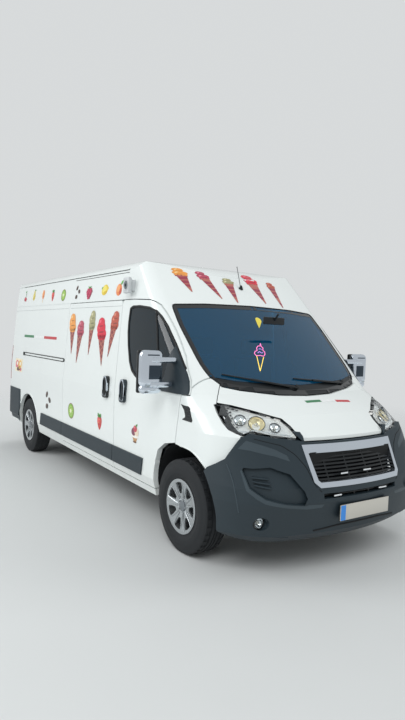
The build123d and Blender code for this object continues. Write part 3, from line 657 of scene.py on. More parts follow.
class Skin:
    """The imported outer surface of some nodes, in millimetres, for pieces that lie on it."""

    # How far before a point its line towards the surface starts
    run_up = 900.0

    def __init__(self, *nodes: str) -> None:
        """Gather the nodes' meshes.

        Args:
            nodes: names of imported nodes.
        """
        bm = bmesh.new()
        for node in nodes:
            bm.from_mesh(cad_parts[node].data)
        bmesh.ops.scale(bm, vec=(MM_PER_M, MM_PER_M, MM_PER_M), verts=bm.verts)
        self.tree = BVHTree.FromBMesh(bm)
        bm.free()

    def at(self, point: tuple, way: tuple, lift: float = 0.0) -> Vector | None:
        """Where a line through a point meets the surface, coming from outside.

        Args:
            point: any point of the line.
            way: direction of travel onto the surface.
            lift: how far before the surface to stop.

        Returns:
            The spot, or None where the line passes by.
        """
        way = Vector(way).normalized()
        spot = self.tree.ray_cast(Vector(point) - way * self.run_up, way)[0]
        return None if spot is None else spot - way * lift

    def facing(self, point: tuple, way: tuple) -> Vector:
        """Which way the surface faces where a line through a point meets it.

        Args:
            point: any point of the line.
            way: direction of travel onto the surface.

        Returns:
            The outward direction, or straight back along the line where it passes by.
        """
        way = Vector(way).normalized()
        turn = self.tree.ray_cast(Vector(point) - way * self.run_up, way)[1]
        if turn is None:
            return -way
        return -turn if turn.dot(way) > 0 else turn

    def land(self, vert: BMVert, way: Vector, lift: float) -> bool:
        """Move a vertex onto the surface.

        Args:
            vert: the vertex.
            way: direction of travel onto the surface.
            lift: height over the surface.

        Returns:
            Whether there was any surface in its way.
        """
        spot = self.at(vert.co, way, lift)
        if spot is None:
            return False
        vert.co = spot
        return True


def line_on(skin: Skin, points: list, way: tuple, lift: float = 0.0, step: float = 60.0) -> list[Vector]:
    """Lay a line of points on the body, with more of them on its long runs.

    Args:
        skin: the surface it lies on.
        points: corners of the line.
        way: direction in which they are pushed onto the surface.
        lift: height over the surface.
        step: longest run without a point.

    Returns:
        The points on the surface.
    """
    laid = []
    for a, b in zip(points, points[1:]):
        a, b = Vector(a), Vector(b)
        count = max(1, int((b - a).length / step))
        laid += [a.lerp(b, i / count) for i in range(count)]
    laid.append(Vector(points[-1]))
    spots = [skin.at(p, way, lift) for p in laid]
    return [s for s in spots if s is not None]


def blob(centre: Flat, half: Flat, lean: float = 0.0, count: int = 18, taper: float = 0.0) -> list[Flat]:
    """Outline of a rounded shape on a flat drawing.

    Args:
        centre: its middle, across and up.
        half: half its width and half its height.
        lean: turn in degrees.
        count: number of corner points.
        taper: how much narrower its lower end is, from 0 to 1.

    Returns:
        Its corner points.
    """
    outline = []
    for i in range(count):
        a = math.tau * i / count
        u, v = math.cos(a), math.sin(a)
        u *= 1 - taper * (1 - v) / 2
        u, v = u * half[0], v * half[1]
        t = math.radians(lean)
        outline.append((centre[0] + u * math.cos(t) - v * math.sin(t), centre[1] + u * math.sin(t) + v * math.cos(t)))
    return outline


def table(*rows: object) -> list:
    """Make the rows the default of a dataclass field."""
    return field(default_factory=lambda: list(rows))


def oblong(u0: float, u1: float, v0: float, v1: float) -> list[Flat]:
    """Corners of an upright oblong on a flat drawing."""
    return [(u0, v0), (u1, v0), (u1, v1), (u0, v1)]


def clipped(u0: float, u1: float, v0: float, v1: float, corner: float) -> list[Flat]:
    """Corners of an upright oblong whose own corners are cut off by so much."""
    return [(u0 + corner, v0), (u1 - corner, v0), (u1, v0 + corner), (u1, v1 - corner), (u1 - corner, v1),
            (u0 + corner, v1), (u0, v1 - corner), (u0, v0 + corner)]


# Directions in which a drawing is pushed onto the van, named for the side that it lies on
RIGHT = (0.0, 1.0, 0.0)
LEFT = (0.0, -1.0, 0.0)
FRONT = (-1.0, 0.0, 0.0)
TAIL = (1.0, 0.0, 0.0)
TOP = (0.0, 0.0, -1.0)
CORNER = (-0.7071, 0.7071, 0.0)
# Upward and sideways directions as seen along the nose corner
RISE = Vector((0.0, 0.0, 1.0))
ACROSS = Vector((math.sqrt(0.5), math.sqrt(0.5), 0.0))
# Where the drawings stand before that: beside, ahead of, behind, above and off the corner of the van
BESIDE, AHEAD, BEHIND, ABOVE, OFF_CORNER = 1250.0, 3050.0, -3200.0, 3000.0, 2800.0


def on_side(points: list[Flat], side: int = -1) -> list[Spot]:
    """Put a drawing of (x, z) points beside the van, on the right for side -1."""
    return [(x, side * BESIDE, z) for x, z in points]


def on_front(points: list[Flat]) -> list[Spot]:
    """Put a drawing of (y, z) points in front of the van."""
    return [(AHEAD, y, z) for y, z in points]


def on_tail(points: list[Flat]) -> list[Spot]:
    """Put a drawing of (y, z) points behind the van."""
    return [(BEHIND, y, z) for y, z in points]


def on_corner(points: list[Flat]) -> list[Spot]:
    """Put a drawing of (sideways, z) points off the right nose corner, at 45 degrees."""
    k = math.sqrt(0.5)
    return [((u + OFF_CORNER) * k, (u - OFF_CORNER) * k, z) for u, z in points]


@dataclass
class Wheels:
    """Tyre tread, trims and brakes of the four wheels."""

    # End of the van, place of the axle, half of the track and radius of the brake disc
    ends: list[tuple[str, float, float, float]] = table(
        ("front", 2051.0, 905.0, 122.0), ("rear", -1984.0, 895.0, 150.0))
    radius: float = 364.0
    bead: float = 203.0
    half: float = 108.0
    steps: int = 72
    groove: float = 7.0
    # The shoulders, off the middle plane, and how deep under the tread they reach
    shoulder: Flat = (55.0, 88.0)
    shoulder_drop: float = 9.0
    bolt_ring: float = 52.0
    spokes: int = 7

    def tyre(self, name: str, centre: Spot, side: int, body: str) -> None:
        """Make one tyre with grooves round it and blocks along its shoulders.

        Args:
            name: ending of the wheel's names.
            centre: middle of the wheel.
            side: 1 on the left, -1 on the right.
            body: body that the wheel belongs to.
        """
        r, h, b, g = self.radius, self.half, self.bead, self.groove
        form = Form()
        half_profile = [
            (b, 82.0), (b + 8, 93.0), (b + 20, 99.0), (b + 44, 104.0), (b + 48, 106.5), (b + 58, 107.5), (b + 78, h),
            (b + 100, 107.0), (b + 104, 105.0), (b + 128, 101.0), (r - 16, 97.0), (r - 5, 89.0), (r - 1, 76.0),
            (r, 52.0), (r - g, 50.0), (r - g, 42.0), (r, 40.0), (r, 18.0), (r - g, 16.0), (r - g, 8.0), (r, 6.0)]
        profile = half_profile + [(p, -w) for p, w in reversed(half_profile)]
        form.lathe(profile, centre, (0, side, 0), self.steps, closed=True)
        gaps = []
        for face in form.bm.faces:
            mid = face.calc_center_median() - Vector(centre)
            reach = math.hypot(mid.x, mid.z)
            turn = int((math.atan2(mid.z, mid.x) / math.tau + 0.5 + 0.5 / self.steps) * self.steps)
            if turn % 2 == 0 and reach > r - self.shoulder_drop and self.shoulder[0] < abs(mid.y) < self.shoulder[1]:
                gaps.append(face)
        bmesh.ops.inset_individual(form.bm, faces=gaps, thickness=2.5, depth=-5.0)
        form.finish(f"tyre_tread_{name}", [RUBBER], "tyre", (f"tyre_{name}",), body=body, sharp=30.0)

    def dress(self, name: str, centre: Spot, side: int, body: str, disc: float) -> None:
        """Put the centre cap, bolts, spoke ridges and brake disc in one wheel.

        Args:
            name: ending of the wheel's names.
            centre: middle of the wheel.
            side: 1 on the left, -1 on the right.
            body: body that the wheel belongs to.
            disc: radius of the brake disc.
        """
        out = Vector((0, side, 0))
        mid = Vector(centre)
        cap = Form()
        cap.lathe([(0, 90), (34, 90), (40, 87), (42, 80), (0, 76)], centre, out, 40, closed=True)
        cap.paint = 1
        cap.lathe([(50, 80), (58, 84), (66, 84), (70, 80), (60, 74)], centre, out, 42, closed=True)
        for i in range(5):
            a = math.tau * i / 5
            seat = mid + Vector((math.cos(a), 0, math.sin(a))) * self.bolt_ring
            cap.lathe([(0, 92), (6, 92), (8, 89), (8, 72), (0, 72)], seat, out, 6, closed=True)
        cap.finish(f"wheel_cap_{name}", [WHEEL_GREY, SILVER_LACQUER], "rim_silver", body=body)
        ridges = Form()
        for i in range(self.spokes):
            a = math.tau * (i + 0.5) / self.spokes
            way = Vector((math.cos(a), 0, math.sin(a)))
            across = way.cross(out)
            for lean in (-1, 1):
                line = [mid + way * far + across * lean * aside + out * high
                        for far, aside, high in ((62, 7, 85), (120, 14, 90), (188, 33, 99))]
                ridges.rod(line, 3.6, smooth=True, resolution=1)
        ridges.lathe([(190, 100), (200, 100.5), (210, 99), (211, 97), (200, 96), (190, 96)], centre, out,
                     self.steps, closed=True)
        ridges.finish(f"wheel_ridges_{name}", [SILVER_LACQUER], "rim_silver", body=body)
        brake = Form()
        brake.lathe([(78, -14), (disc, -14), (disc, -2), (78, -2)], centre, out, 48, closed=True)
        brake.lathe([(76, -14), (80, -14), (84, 22), (76, 24)], centre, out, 40, closed=True)
        brake.finish(f"brake_disc_{name}", [CAST_METAL], "cast_metal", body=body)

    def build(self) -> None:
        """Dress all four wheels."""
        for end, x, y, disc in self.ends:
            for hand, side in HANDS:
                name, body = f"{end}_{hand}", f"wheel_{end}_{hand}"
                self.tyre(name, (x, side * y, self.radius), side, body)
                self.dress(name, (x, side * y, self.radius), side, body, disc)


@dataclass
class Headlamps:
    """Clear covers, dark rims, bowls and light strips of the two headlamps."""

    depth: float = 46.0
    # Walls nearer the wing than this stay dark
    dark_end: float = 1140.0
    # All drawings of a lamp give the way along the nose corner and the height. First the bright well inside
    # the dark rim, which is wide towards the wing
    well: list[Flat] = table(
        (1056, 1176), (1110, 1169), (1254, 1138), (1402, 1104), (1476, 1085), (1540, 1042), (1590, 1000),
        (1600, 984), (1556, 990), (1421, 1006), (1292, 1030), (1237, 1010), (1196, 1024), (1150, 1062),
        (1100, 1120))
    outline: list[Flat] = table(
        (984, 1184), (1008, 1191), (1105, 1179), (1254, 1149), (1402, 1115), (1482, 1096), (1551, 1050),
        (1605, 1003), (1650, 963), (1559, 978), (1421, 994), (1281, 1016), (1237, 993), (1185, 1008),
        (1124, 1029), (1073, 1070), (1015, 1138))
    strip: list[Flat] = table(
        (1045, 1150), (1075, 1105), (1130, 1052), (1200, 1024), (1250, 1016), (1300, 1034), (1430, 1014),
        (1560, 996))
    # Middle of each bowl, its radius and how deep it sits; a bowl wider than the limit looks warm
    bowls: list[Four] = table((1196, 1092, 40, 9), (1316, 1072, 58, 8), (1446, 1046, 36, 9))
    warm_from: float = 50.0
    # Dark vanes at the wing end: middle, half width and half height
    vanes: list[Four] = table(
        (1092, 1160, 16, 5), (1126, 1154, 14, 5), (1158, 1148, 13, 5), (1086, 1144, 9, 8), (1112, 1136, 9, 9),
        (1122, 1116, 8, 8), (1100, 1128, 6, 6), (1136, 1098, 7, 9), (1128, 1076, 6, 8), (1150, 1060, 9, 5),
        (1176, 1044, 10, 4))
    vane_sunk: float = 27.0

    def sheet(self, form: Form, skin: Skin, lift: float) -> list[BMFace]:
        """Lay the lamp's outline on its outer face, with a rim band in paint 0 and the rest in paint 1.

        Args:
            form: the piece that it joins.
            skin: the lamp's outer face.
            lift: height over that face.

        Returns:
            The faces inside the rim.
        """
        rings = [[form.bm.verts.new(p) for p in on_corner(ring)] for ring in (self.outline, self.well)]
        edges = [form.bm.edges.new((a, b)) for ring in rings for a, b in zip(ring, ring[1:] + ring[:1])]
        bmesh.ops.triangle_fill(form.bm, edges=edges, use_beauty=False)
        inner = form.bm.faces.new(rings[1])
        inner.normal_update()
        for face in bmesh.ops.triangulate(form.bm, faces=[inner], ngon_method="EAR_CLIP")["faces"]:
            face.material_index = 1
        dice(form.bm, 40.0)
        for vert in list(form.bm.verts):
            if not skin.land(vert, Vector(CORNER), lift):
                form.bm.verts.remove(vert)
        bmesh.ops.recalc_face_normals(form.bm, faces=form.bm.faces)
        if sum(f.normal.dot(Vector(CORNER)) for f in form.bm.faces) > 0:
            bmesh.ops.reverse_faces(form.bm, faces=form.bm.faces)
        return [f for f in form.bm.faces if f.material_index == 1]

    def covers(self, skin: Skin) -> None:
        """Make the clear covers.

        Args:
            skin: the lamps' outer face.
        """
        form = Form()
        self.sheet(form, skin, -0.5)
        draw_out(form.bm, list(form.bm.faces), Vector(CORNER) * 3)
        for face in form.bm.faces:
            face.material_index = 0
        form.mirrored()
        form.finish("headlamp_covers", [CLEAR_LENS], "lamp_glass", sharp=50)

    def housings(self, skin: Skin) -> None:
        """Sink the bright wells into dark housings.

        Args:
            skin: the lamps' outer face.
        """
        form = Form()
        bm = form.bm
        inner = self.sheet(form, skin, -5.0)
        edge = {e for e in bm.edges if e.is_boundary}
        deep = draw_out(bm, inner, Vector(CORNER) * self.depth)
        bmesh.ops.delete(bm, geom=inner, context="FACES_ONLY")
        bottom = {g for g in deep if isinstance(g, BMFace)}
        for face in {f for g in bottom for v in g.verts for f in v.link_faces} - bottom:
            dark = face.calc_center_median().dot(ACROSS) < self.dark_end
            face.material_index = 0 if dark else 1
        skirt = bmesh.ops.extrude_edge_only(bm, edges=[e for e in edge if e.is_valid])["geom"]
        bmesh.ops.translate(bm, vec=Vector(CORNER) * 80, verts=verts_of(skirt))
        form.mirrored()
        form.finish("headlamp_housings", [BLACK_PLASTIC, LAMP_SILVER], "black_plastic", ("headlamps",),
                    sharp=40)

    def insides(self, skin: Skin) -> None:
        """Fit the bowls with their bulbs, the light strip and the vanes.

        Args:
            skin: the lamps' outer face.
        """
        way = Vector(CORNER)
        form = Form()
        for u, z, r, sunk in self.bowls:
            mark = on_corner([(u, z)])[0]
            spot = skin.at(mark, CORNER, -sunk)
            out = (skin.facing(mark, CORNER) * 3 - way).normalized()
            form.paint = 3
            form.lathe([(r + 1, 3), (r + 6, 3), (r + 6, -4), (r + 1, -4)], spot, out, 36, closed=True)
            form.paint = 4 if r > self.warm_from else 0
            form.lathe([(r, 0), (r + 2, 1), (r + 2, -4), (r * 0.98, -4), (r * 0.82, -r * 0.25),
                        (r * 0.4, -r * 0.45), (0, -r * 0.5)], spot, out, 36)
            form.paint = 1
            form.ball(spot - out * r * 0.25, (r * 0.26, r * 0.26, r * 0.26))
        form.paint = 2
        form.rod(line_on(skin, on_corner(self.strip), CORNER, -16.0, 40.0), 5.0, smooth=True)
        form.paint = 3
        for u, z, long, tall in self.vanes:
            spot = skin.at(on_corner([(u, z)])[0], CORNER, -self.vane_sunk)
            if spot is not None:
                form.slab([spot + RISE * tall, spot + ACROSS * long, spot - RISE * tall, spot - ACROSS * long],
                          tuple(way * 18), 1.0, 1)
        form.mirrored()
        form.finish("headlamp_bowls", [REFLECTOR, BULB_GLASS, LIGHT_STRIP, BEZEL_GREY, WARM_REFLECTOR],
                    "chrome", sharp=40)

    def build(self) -> None:
        """Make both lamps."""
        skin = Skin("headlamps")
        self.covers(skin)
        self.housings(skin)
        self.insides(skin)


@dataclass
class Nose:
    """Seams and highlights of the bumper, grille backing, light bars, fog lamps and number plate."""

    seam: list[Spot] = table(
        (2667, -808, 985), (2762, -638, 943), (2813, -550, 882), (2866, -490, 799), (2911, -466, 718),
        (2942, -450, 661), (2952, -410, 637))
    wing_seam: list[Spot] = table((2640, -860, 984), (2560, -930, 1000))
    side_seam: list[Spot] = table(
        (2556, -976, 839), (2607, -967, 772), (2652, -963, 698), (2687, -959, 603), (2700, -941, 493))
    foot_edge: list[Spot] = table((2756, -856, 352), (2804, -785, 338), (2857, -625, 316))
    low_seam: list[Spot] = table(
        (2900, -430, 352), (2950, -226, 372), (2955, 0, 374), (2950, 226, 372), (2900, 430, 352))
    # Upper and lower edge of each band where the moulding turns towards the sky, lighter there as a painted highlight
    bands: list[tuple[list, list]] = table(
        ([(2640, -855, 972), (2714, -766, 944), (2759, -690, 918), (2800, -613, 877)],
         [(2616, -908, 915), (2679, -847, 908), (2733, -779, 892), (2776, -702, 874), (2821, -602, 839)]),
        (on_corner([(1246, 780), (1311, 665), (1424, 599), (1552, 565), (1686, 546), (1718, 553), (1820, 546)]),
         on_corner([(1238, 774), (1292, 650), (1365, 600), (1425, 570), (1570, 539), (1705, 520), (1803, 524)])))
    # Ends across the van, height and front face of each light bar, and the number of lights in one
    bars: list[Four] = table(
        (-218, -138, 744, 2943), (22, 112, 746, 2943), (-309, -226, 602, 2974), (169, 263, 603, 2974))
    lights: int = 6

    def lines(self, skin: Skin) -> None:
        """Draw the moulded seams and edges of the bumper, and the painted highlights on its bands and side seam.

        Args:
            skin: the bumper's outer face.
        """
        seams = Form()
        seams.rod(line_on(skin, self.seam, CORNER, -1.0, 40), 3.2, smooth=True, resolution=1)
        seams.rod(line_on(skin, self.wing_seam, CORNER, -1.0, 40), 2.5, resolution=1)
        seams.mirrored()
        seams.finish("bumper_seams", [GAP_BLACK], "black_plastic")
        # Painted highlights: lighter bands where the moulding faces the sky, and a lighter line along the side seam
        bright = Form()
        for upper, under in self.bands:
            bright.film(upper + under[::-1], skin, CORNER, 1.4, 0.8, 30.0)
        bright.rod(line_on(skin, self.side_seam, CORNER, 0.5, 40), 4.0, smooth=True)
        bright.mirrored()
        bright.finish("bumper_highlights", [SHEEN_PLASTIC], "grey_plastic")
        edges = Form()
        edges.rod(line_on(skin, self.side_seam, CORNER, -2.5, 40), 5.0, smooth=True)
        edges.rod(line_on(skin, self.foot_edge, CORNER, -3.0, 40), 6.0, smooth=True)
        edges.mirrored()
        edges.finish("bumper_edges", [GREY_PLASTIC], "grey_plastic", sharp=60)
        low = Form()
        low.rod(line_on(skin, self.low_seam, FRONT, -1.0, 60), 6.5, smooth=True)
        low.finish("bumper_low_seam", [GAP_BLACK], "black_plastic")

    def grille(self) -> None:
        """Back the slats with a dark panel and hang the light bars."""
        back = Form()
        back.block((2836, -430, 690), (2842, 430, 892), 2.0, 1)
        back.finish("grille_backing", [GAP_BLACK], "black_plastic")
        bars = Form()
        for y0, y1, z, x in self.bars:
            bars.paint = 0
            bars.block((x - 14, y0, z - 8), (x - 4, y1, z + 8), 3.0, 2)
            bars.paint = 1
            pitch = (y1 - y0 - 8) / self.lights
            for i in range(self.lights):
                a = y0 + 4 + pitch * i
                bars.block((x - 5, a + 1, z - 5), (x, a + pitch - 1, z + 5), 1.6, 2)
        bars.finish("light_bars", [BLACK_PLASTIC, LIGHT_STRIP], "lamp_glass")

    def fog(self, y: float = -816.0, z: float = 423.0, r: float = 46.0) -> None:
        """Frame the fog lamps and give them a reflector and a bulb.

        Args:
            y: sideways place of the right lamp.
            z: its height.
            r: radius of its lens.
        """
        place, ahead, steps = (2766, y, z), (1, 0, 0), 40
        form = Form()
        form.lathe([(r - 1, 0), (r - 1, 6), (r - 5, 9), (r - 8, 4), (r - 8, 0)], place, ahead, steps, closed=True)
        form.paint = 1
        form.lathe([(r - 9, -2), (r - 14, -14), (r * 0.4, -26), (0, -28), (0, -30), (r * 0.45, -28),
                    (r - 10, -16), (r - 8, -2)], place, ahead, steps)
        form.paint = 2
        form.ball((2752, y, z), (11, 11, 11))
        form.mirrored()
        form.finish("fog_lamp_bowls", [BLACK_PLASTIC, REFLECTOR, BULB_GLASS], "chrome")
        glass = Form()
        glass.lathe([(0, 4), (r * 0.5, 3), (r - 8, 0), (r - 8, -2), (r * 0.5, 1), (0, 2)], place, ahead, steps)
        glass.mirrored()
        glass.finish("fog_lamp_glasses", [CLEAR_LENS], "lamp_glass", ("fog_lamps",))

    def plate(self) -> None:
        """Make the blank number plate with its plain blue band."""
        form = Form()
        form.blocks([(0, (2965, -240, 420), (2985, 240, 532), 3.0, 1),
                     (0, (2984, -263, 417), (2992, 263, 535), 3.0, 2),
                     (1, (2990, -260, 420), (2998.2, 260, 532), 2.0, 2),
                     (2, (2997.5, -258, 422), (2998.8, -208, 530), 0.4, 1)])
        form.finish("front_plate", [BLACK_PLASTIC, PLATE_WHITE, PLATE_BLUE], "plate_white", ("number_plate",))

    def build(self) -> None:
        """Make everything on the nose."""
        skin = Skin("front_bumper")
        self.lines(skin)
        self.grille()
        self.fog()
        self.plate()


@dataclass
class Glazing:
    """Black borders and rubber seals of the glass, the cab mirror, the lit sign and the small cone picture."""

    # Right half of the windscreen's edge, from the middle of its top to the middle of its foot
    screen: list[Flat] = table(
        (0, 1979), (500, 1970), (822, 1949), (841, 1772), (836, 1619), (832, 1466), (812, 1386), (793, 1350),
        (749, 1306), (614, 1280), (451, 1262), (283, 1245), (0, 1238))
    # Door window, and the point and shares by which its seal is drawn in from that edge
    window: list[Flat] = table(
        (976, 1920), (968, 1800), (975, 1700), (1006, 1577), (1067, 1423), (1126, 1345), (1200, 1304),
        (1320, 1262), (1440, 1240), (1678, 1224), (1960, 1226), (1960, 1420), (1924, 1454), (1847, 1537),
        (1772, 1615), (1700, 1686), (1626, 1760), (1529, 1844), (1455, 1895), (1347, 1926), (1166, 1943),
        (1031, 1942))
    window_mid: Flat = (1410.0, 1580.0)
    window_share: Flat = (0.975, 0.965)
    post: list[Flat] = table((1449, 1890), (1516, 1723), (1566, 1545), (1640, 1240))
    border: float = 34.0
    # Paint, radius and points of each lit tube; the whole drawing leans and is shifted across and up
    tubes: list[tuple[int, float, list[Flat]]] = table(
        (0, 3.0, [(-236, 1470), (-204, 1352), (-166, 1462)]),
        (1, 3.0, [(-240, 1474), (-262, 1490), (-250, 1512), (-228, 1514), (-238, 1534), (-220, 1556), (-200, 1552),
                  (-196, 1578), (-186, 1548), (-168, 1540), (-172, 1518), (-152, 1508), (-150, 1484), (-166, 1470),
                  (-200, 1476), (-240, 1474)]),
        (2, 2.4, [(-226, 1496), (-206, 1510), (-186, 1494), (-172, 1500)]),
        (2, 2.4, [(-214, 1528), (-198, 1536), (-184, 1524)]))
    sign_lean: float = 0.73
    sign_foot: float = 1465.0
    sign_shift: Flat = (-45.0, 66.0)
    picture: list[Flat] = table(
        (-50, 1844), (-42, 1864), (-22, 1876), (2, 1874), (16, 1860), (12, 1840), (-16, 1816), (-66, 1776),
        (-58, 1812))

    def windscreen(self) -> None:
        """Print the black border, press the seal into the gap and hang the cab mirror."""
        whole = self.screen + [(-y, z) for y, z in reversed(self.screen[1:-1])]
        form = Form()
        form.film(on_front(whole), Skin("windscreen", "cowl_panel"), FRONT, 2.6, 0.8, 30.0, rim=self.border)
        form.finish("windscreen_border", [CERAMIC_FRIT], "black_plastic")
        seal = Form()
        around = Skin("windscreen", "cowl_panel", "roof_panel", "bonnet", "wing_right", "wing_left")
        line = line_on(around, on_front([(y * 1.004, z) for y, z in whole + whole[:1]]), FRONT, -7.0, 80.0)
        seal.rod(line, 7.5, smooth=True)
        seal.finish("windscreen_seal", [SEAL_RUBBER], "black_plastic")
        mirror = Form()
        mirror.block((1880, -120, 1812), (1900, 120, 1878), 9.0, 3)
        mirror.rod([(1895, 0, 1850), (1925, 0, 1880), (1946, 0, 1905)], 9.0, smooth=True, resolution=3)
        mirror.paint = 1
        mirror.block((1877, -112, 1818), (1881, 112, 1872), 1.5, 1)
        mirror.finish("cab_mirror", [BLACK_PLASTIC, SILVERED_GLASS], "black_plastic")

    def doors(self) -> None:
        """Seal the door windows and stand the divider of the quarter light."""
        (mid_x, mid_z), (share_x, share_z) = self.window_mid, self.window_share
        ring = [(mid_x + (x - mid_x) * share_x, mid_z + (z - mid_z) * share_z) for x, z in self.window]
        for hand, side in HANDS:
            form = Form()
            glass = Skin(f"door_glass_{hand}")
            for points, lift, step, radius in ((ring + ring[:1], -2.0, 60.0, 13.0), (self.post, 0.0, 40.0, 10.0)):
                form.rod(line_on(glass, on_side(points, side), (0, -side, 0), lift, step), radius)
            form.finish(f"window_seal_{hand}", [SEAL_RUBBER], "black_plastic", body=f"front_door_{hand}")

    def signs(self) -> None:
        """Lay the lit cone sign and the small cone picture on the windscreen."""
        skin = Skin("windscreen")
        sign = Form()
        for paint, radius, points in self.tubes:
            leant = [(y + self.sign_shift[0] + self.sign_lean * (z - self.sign_foot), z + self.sign_shift[1])
                     for y, z in points]
            sign.paint = paint
            sign.rod(line_on(skin, on_front(leant), FRONT, 1.0, 12.0), radius, smooth=paint > 0, resolution=3)
        sign.finish("cone_sign", [NEON_YELLOW, NEON_PINK, NEON_VIOLET], "lamp_glass")
        picture = Form()
        picture.film(on_front(self.picture), skin, FRONT, 3.0, 0.4, 15.0)
        picture.finish("screen_cone_print", [vinyl("lemon_ice", "#ead94e")], "plate_white")

    def build(self) -> None:
        """Make all that belongs to the glass."""
        self.windscreen()
        self.doors()
        self.signs()


@dataclass
class Wipers:
    """Wiper arms and blades across the foot of the windscreen."""

    # Foot y and z, tip y and z
    lines: list[Four] = table((-60, 1292, -700, 1392), (560, 1318, -40, 1362))

    def over(self, skin: Skin, row: tuple, pairs: list[Flat]) -> list[Vector]:
        """Find points over the glass along one wiper.

        Args:
            skin: the glass and the scuttle.
            row: the wiper's row of the table.
            pairs: share of the wiper's length and height over the glass, point by point.

        Returns:
            The points.
        """
        foot, tip = Vector((AHEAD, *row[:2])), Vector((AHEAD, *row[2:]))
        return [skin.at(foot.lerp(tip, share), FRONT, lift) for share, lift in pairs]

    def build(self) -> None:
        """Make both wipers."""
        skin = Skin("windscreen", "cowl_panel")
        form = Form()
        tenths = range(1, 11)
        for row in self.lines:
            form.paint = 0
            for radius, smooth, pairs in (
                    (8.5, True, [(0.0, 22), (0.2, 26), (0.45, 25), (0.6, 18)]), (10.0, False, [(0.55, 20), (0.66, 18)]),
                    (6.0, True, [(s / 10, 15 if 1 < s < 9 else 12) for s in tenths])):
                form.rod(self.over(skin, row, pairs), radius, smooth=smooth)
            form.lathe([(0, 26), (12, 26), (17, 22), (20, 6), (20, -6), (0, -6)], self.over(skin, row, [(0.0, 0)])[0],
                       (0.7, 0, 0.7), 20, closed=True)
            form.paint = 1
            form.rod(self.over(skin, row, [(s / 10, 6) for s in tenths]), 3.2, smooth=True, resolution=1)
        form.finish("wiper_arms", [BLACK_PLASTIC, SEAL_RUBBER], "black_plastic", ("wipers",))


@dataclass
class Mirrors:
    """Plated door mirrors on two arms, with black backs and two glasses each."""

    # Paint, lowest and highest corner, rounding and facets of each block of the right one: plated case, black back,
    # glasses with the plating's seam, and darker patches on its front, painted reflections of the van and the ground
    shell: list[tuple] = table(
        (0, (1785, -1290, 1270), (1882, -1094, 1564), 46, 6), (0, (1785, -1286, 1222), (1875, -1098, 1300), 40, 6),
        (1, (1773, -1289, 1225), (1807, -1095, 1561), 14, 3), (2, (1771.5, -1270, 1356), (1776, -1114, 1541), 2, 2),
        (2, (1771.5, -1270, 1247), (1776, -1114, 1342), 2, 2), (2, (1877, -1258, 1282), (1880.5, -1126, 1294), 1.5, 2),
        (3, (1879, -1230, 1338), (1883.5, -1126, 1447), 4, 3), (3, (1879, -1244, 1521), (1883.5, -1140, 1531), 4, 3))
    # Place along the van, height and root of each arm cover, and where they all end
    arms: list[Spot] = table((1832, 1488, 985), (1834, 1296, 1012))
    arm_end: float = 1215.0

    def build(self) -> None:
        """Make both mirrors."""
        for hand, side in HANDS:
            form = Form()
            form.blocks(self.shell)
            if side > 0:
                bmesh.ops.scale(form.bm, vec=(1, -1, 1), verts=form.bm.verts)
            form.finish(f"mirror_shell_{hand}", [CHROME, BLACK_PLASTIC, SILVERED_GLASS, DARK_CHROME], "chrome",
                        (f"mirror_head_{hand}",), body=f"front_door_{hand}")
            covers = Form()
            for x, z, root in self.arms:
                y0, y1 = sorted((side * root, side * self.arm_end))
                covers.block((x - 26, y0, z - 23), (x + 57, y1, z + 23), 18.0, 4)
            covers.finish(f"mirror_arm_covers_{hand}", [CHROME], "chrome", body=f"front_door_{hand}")


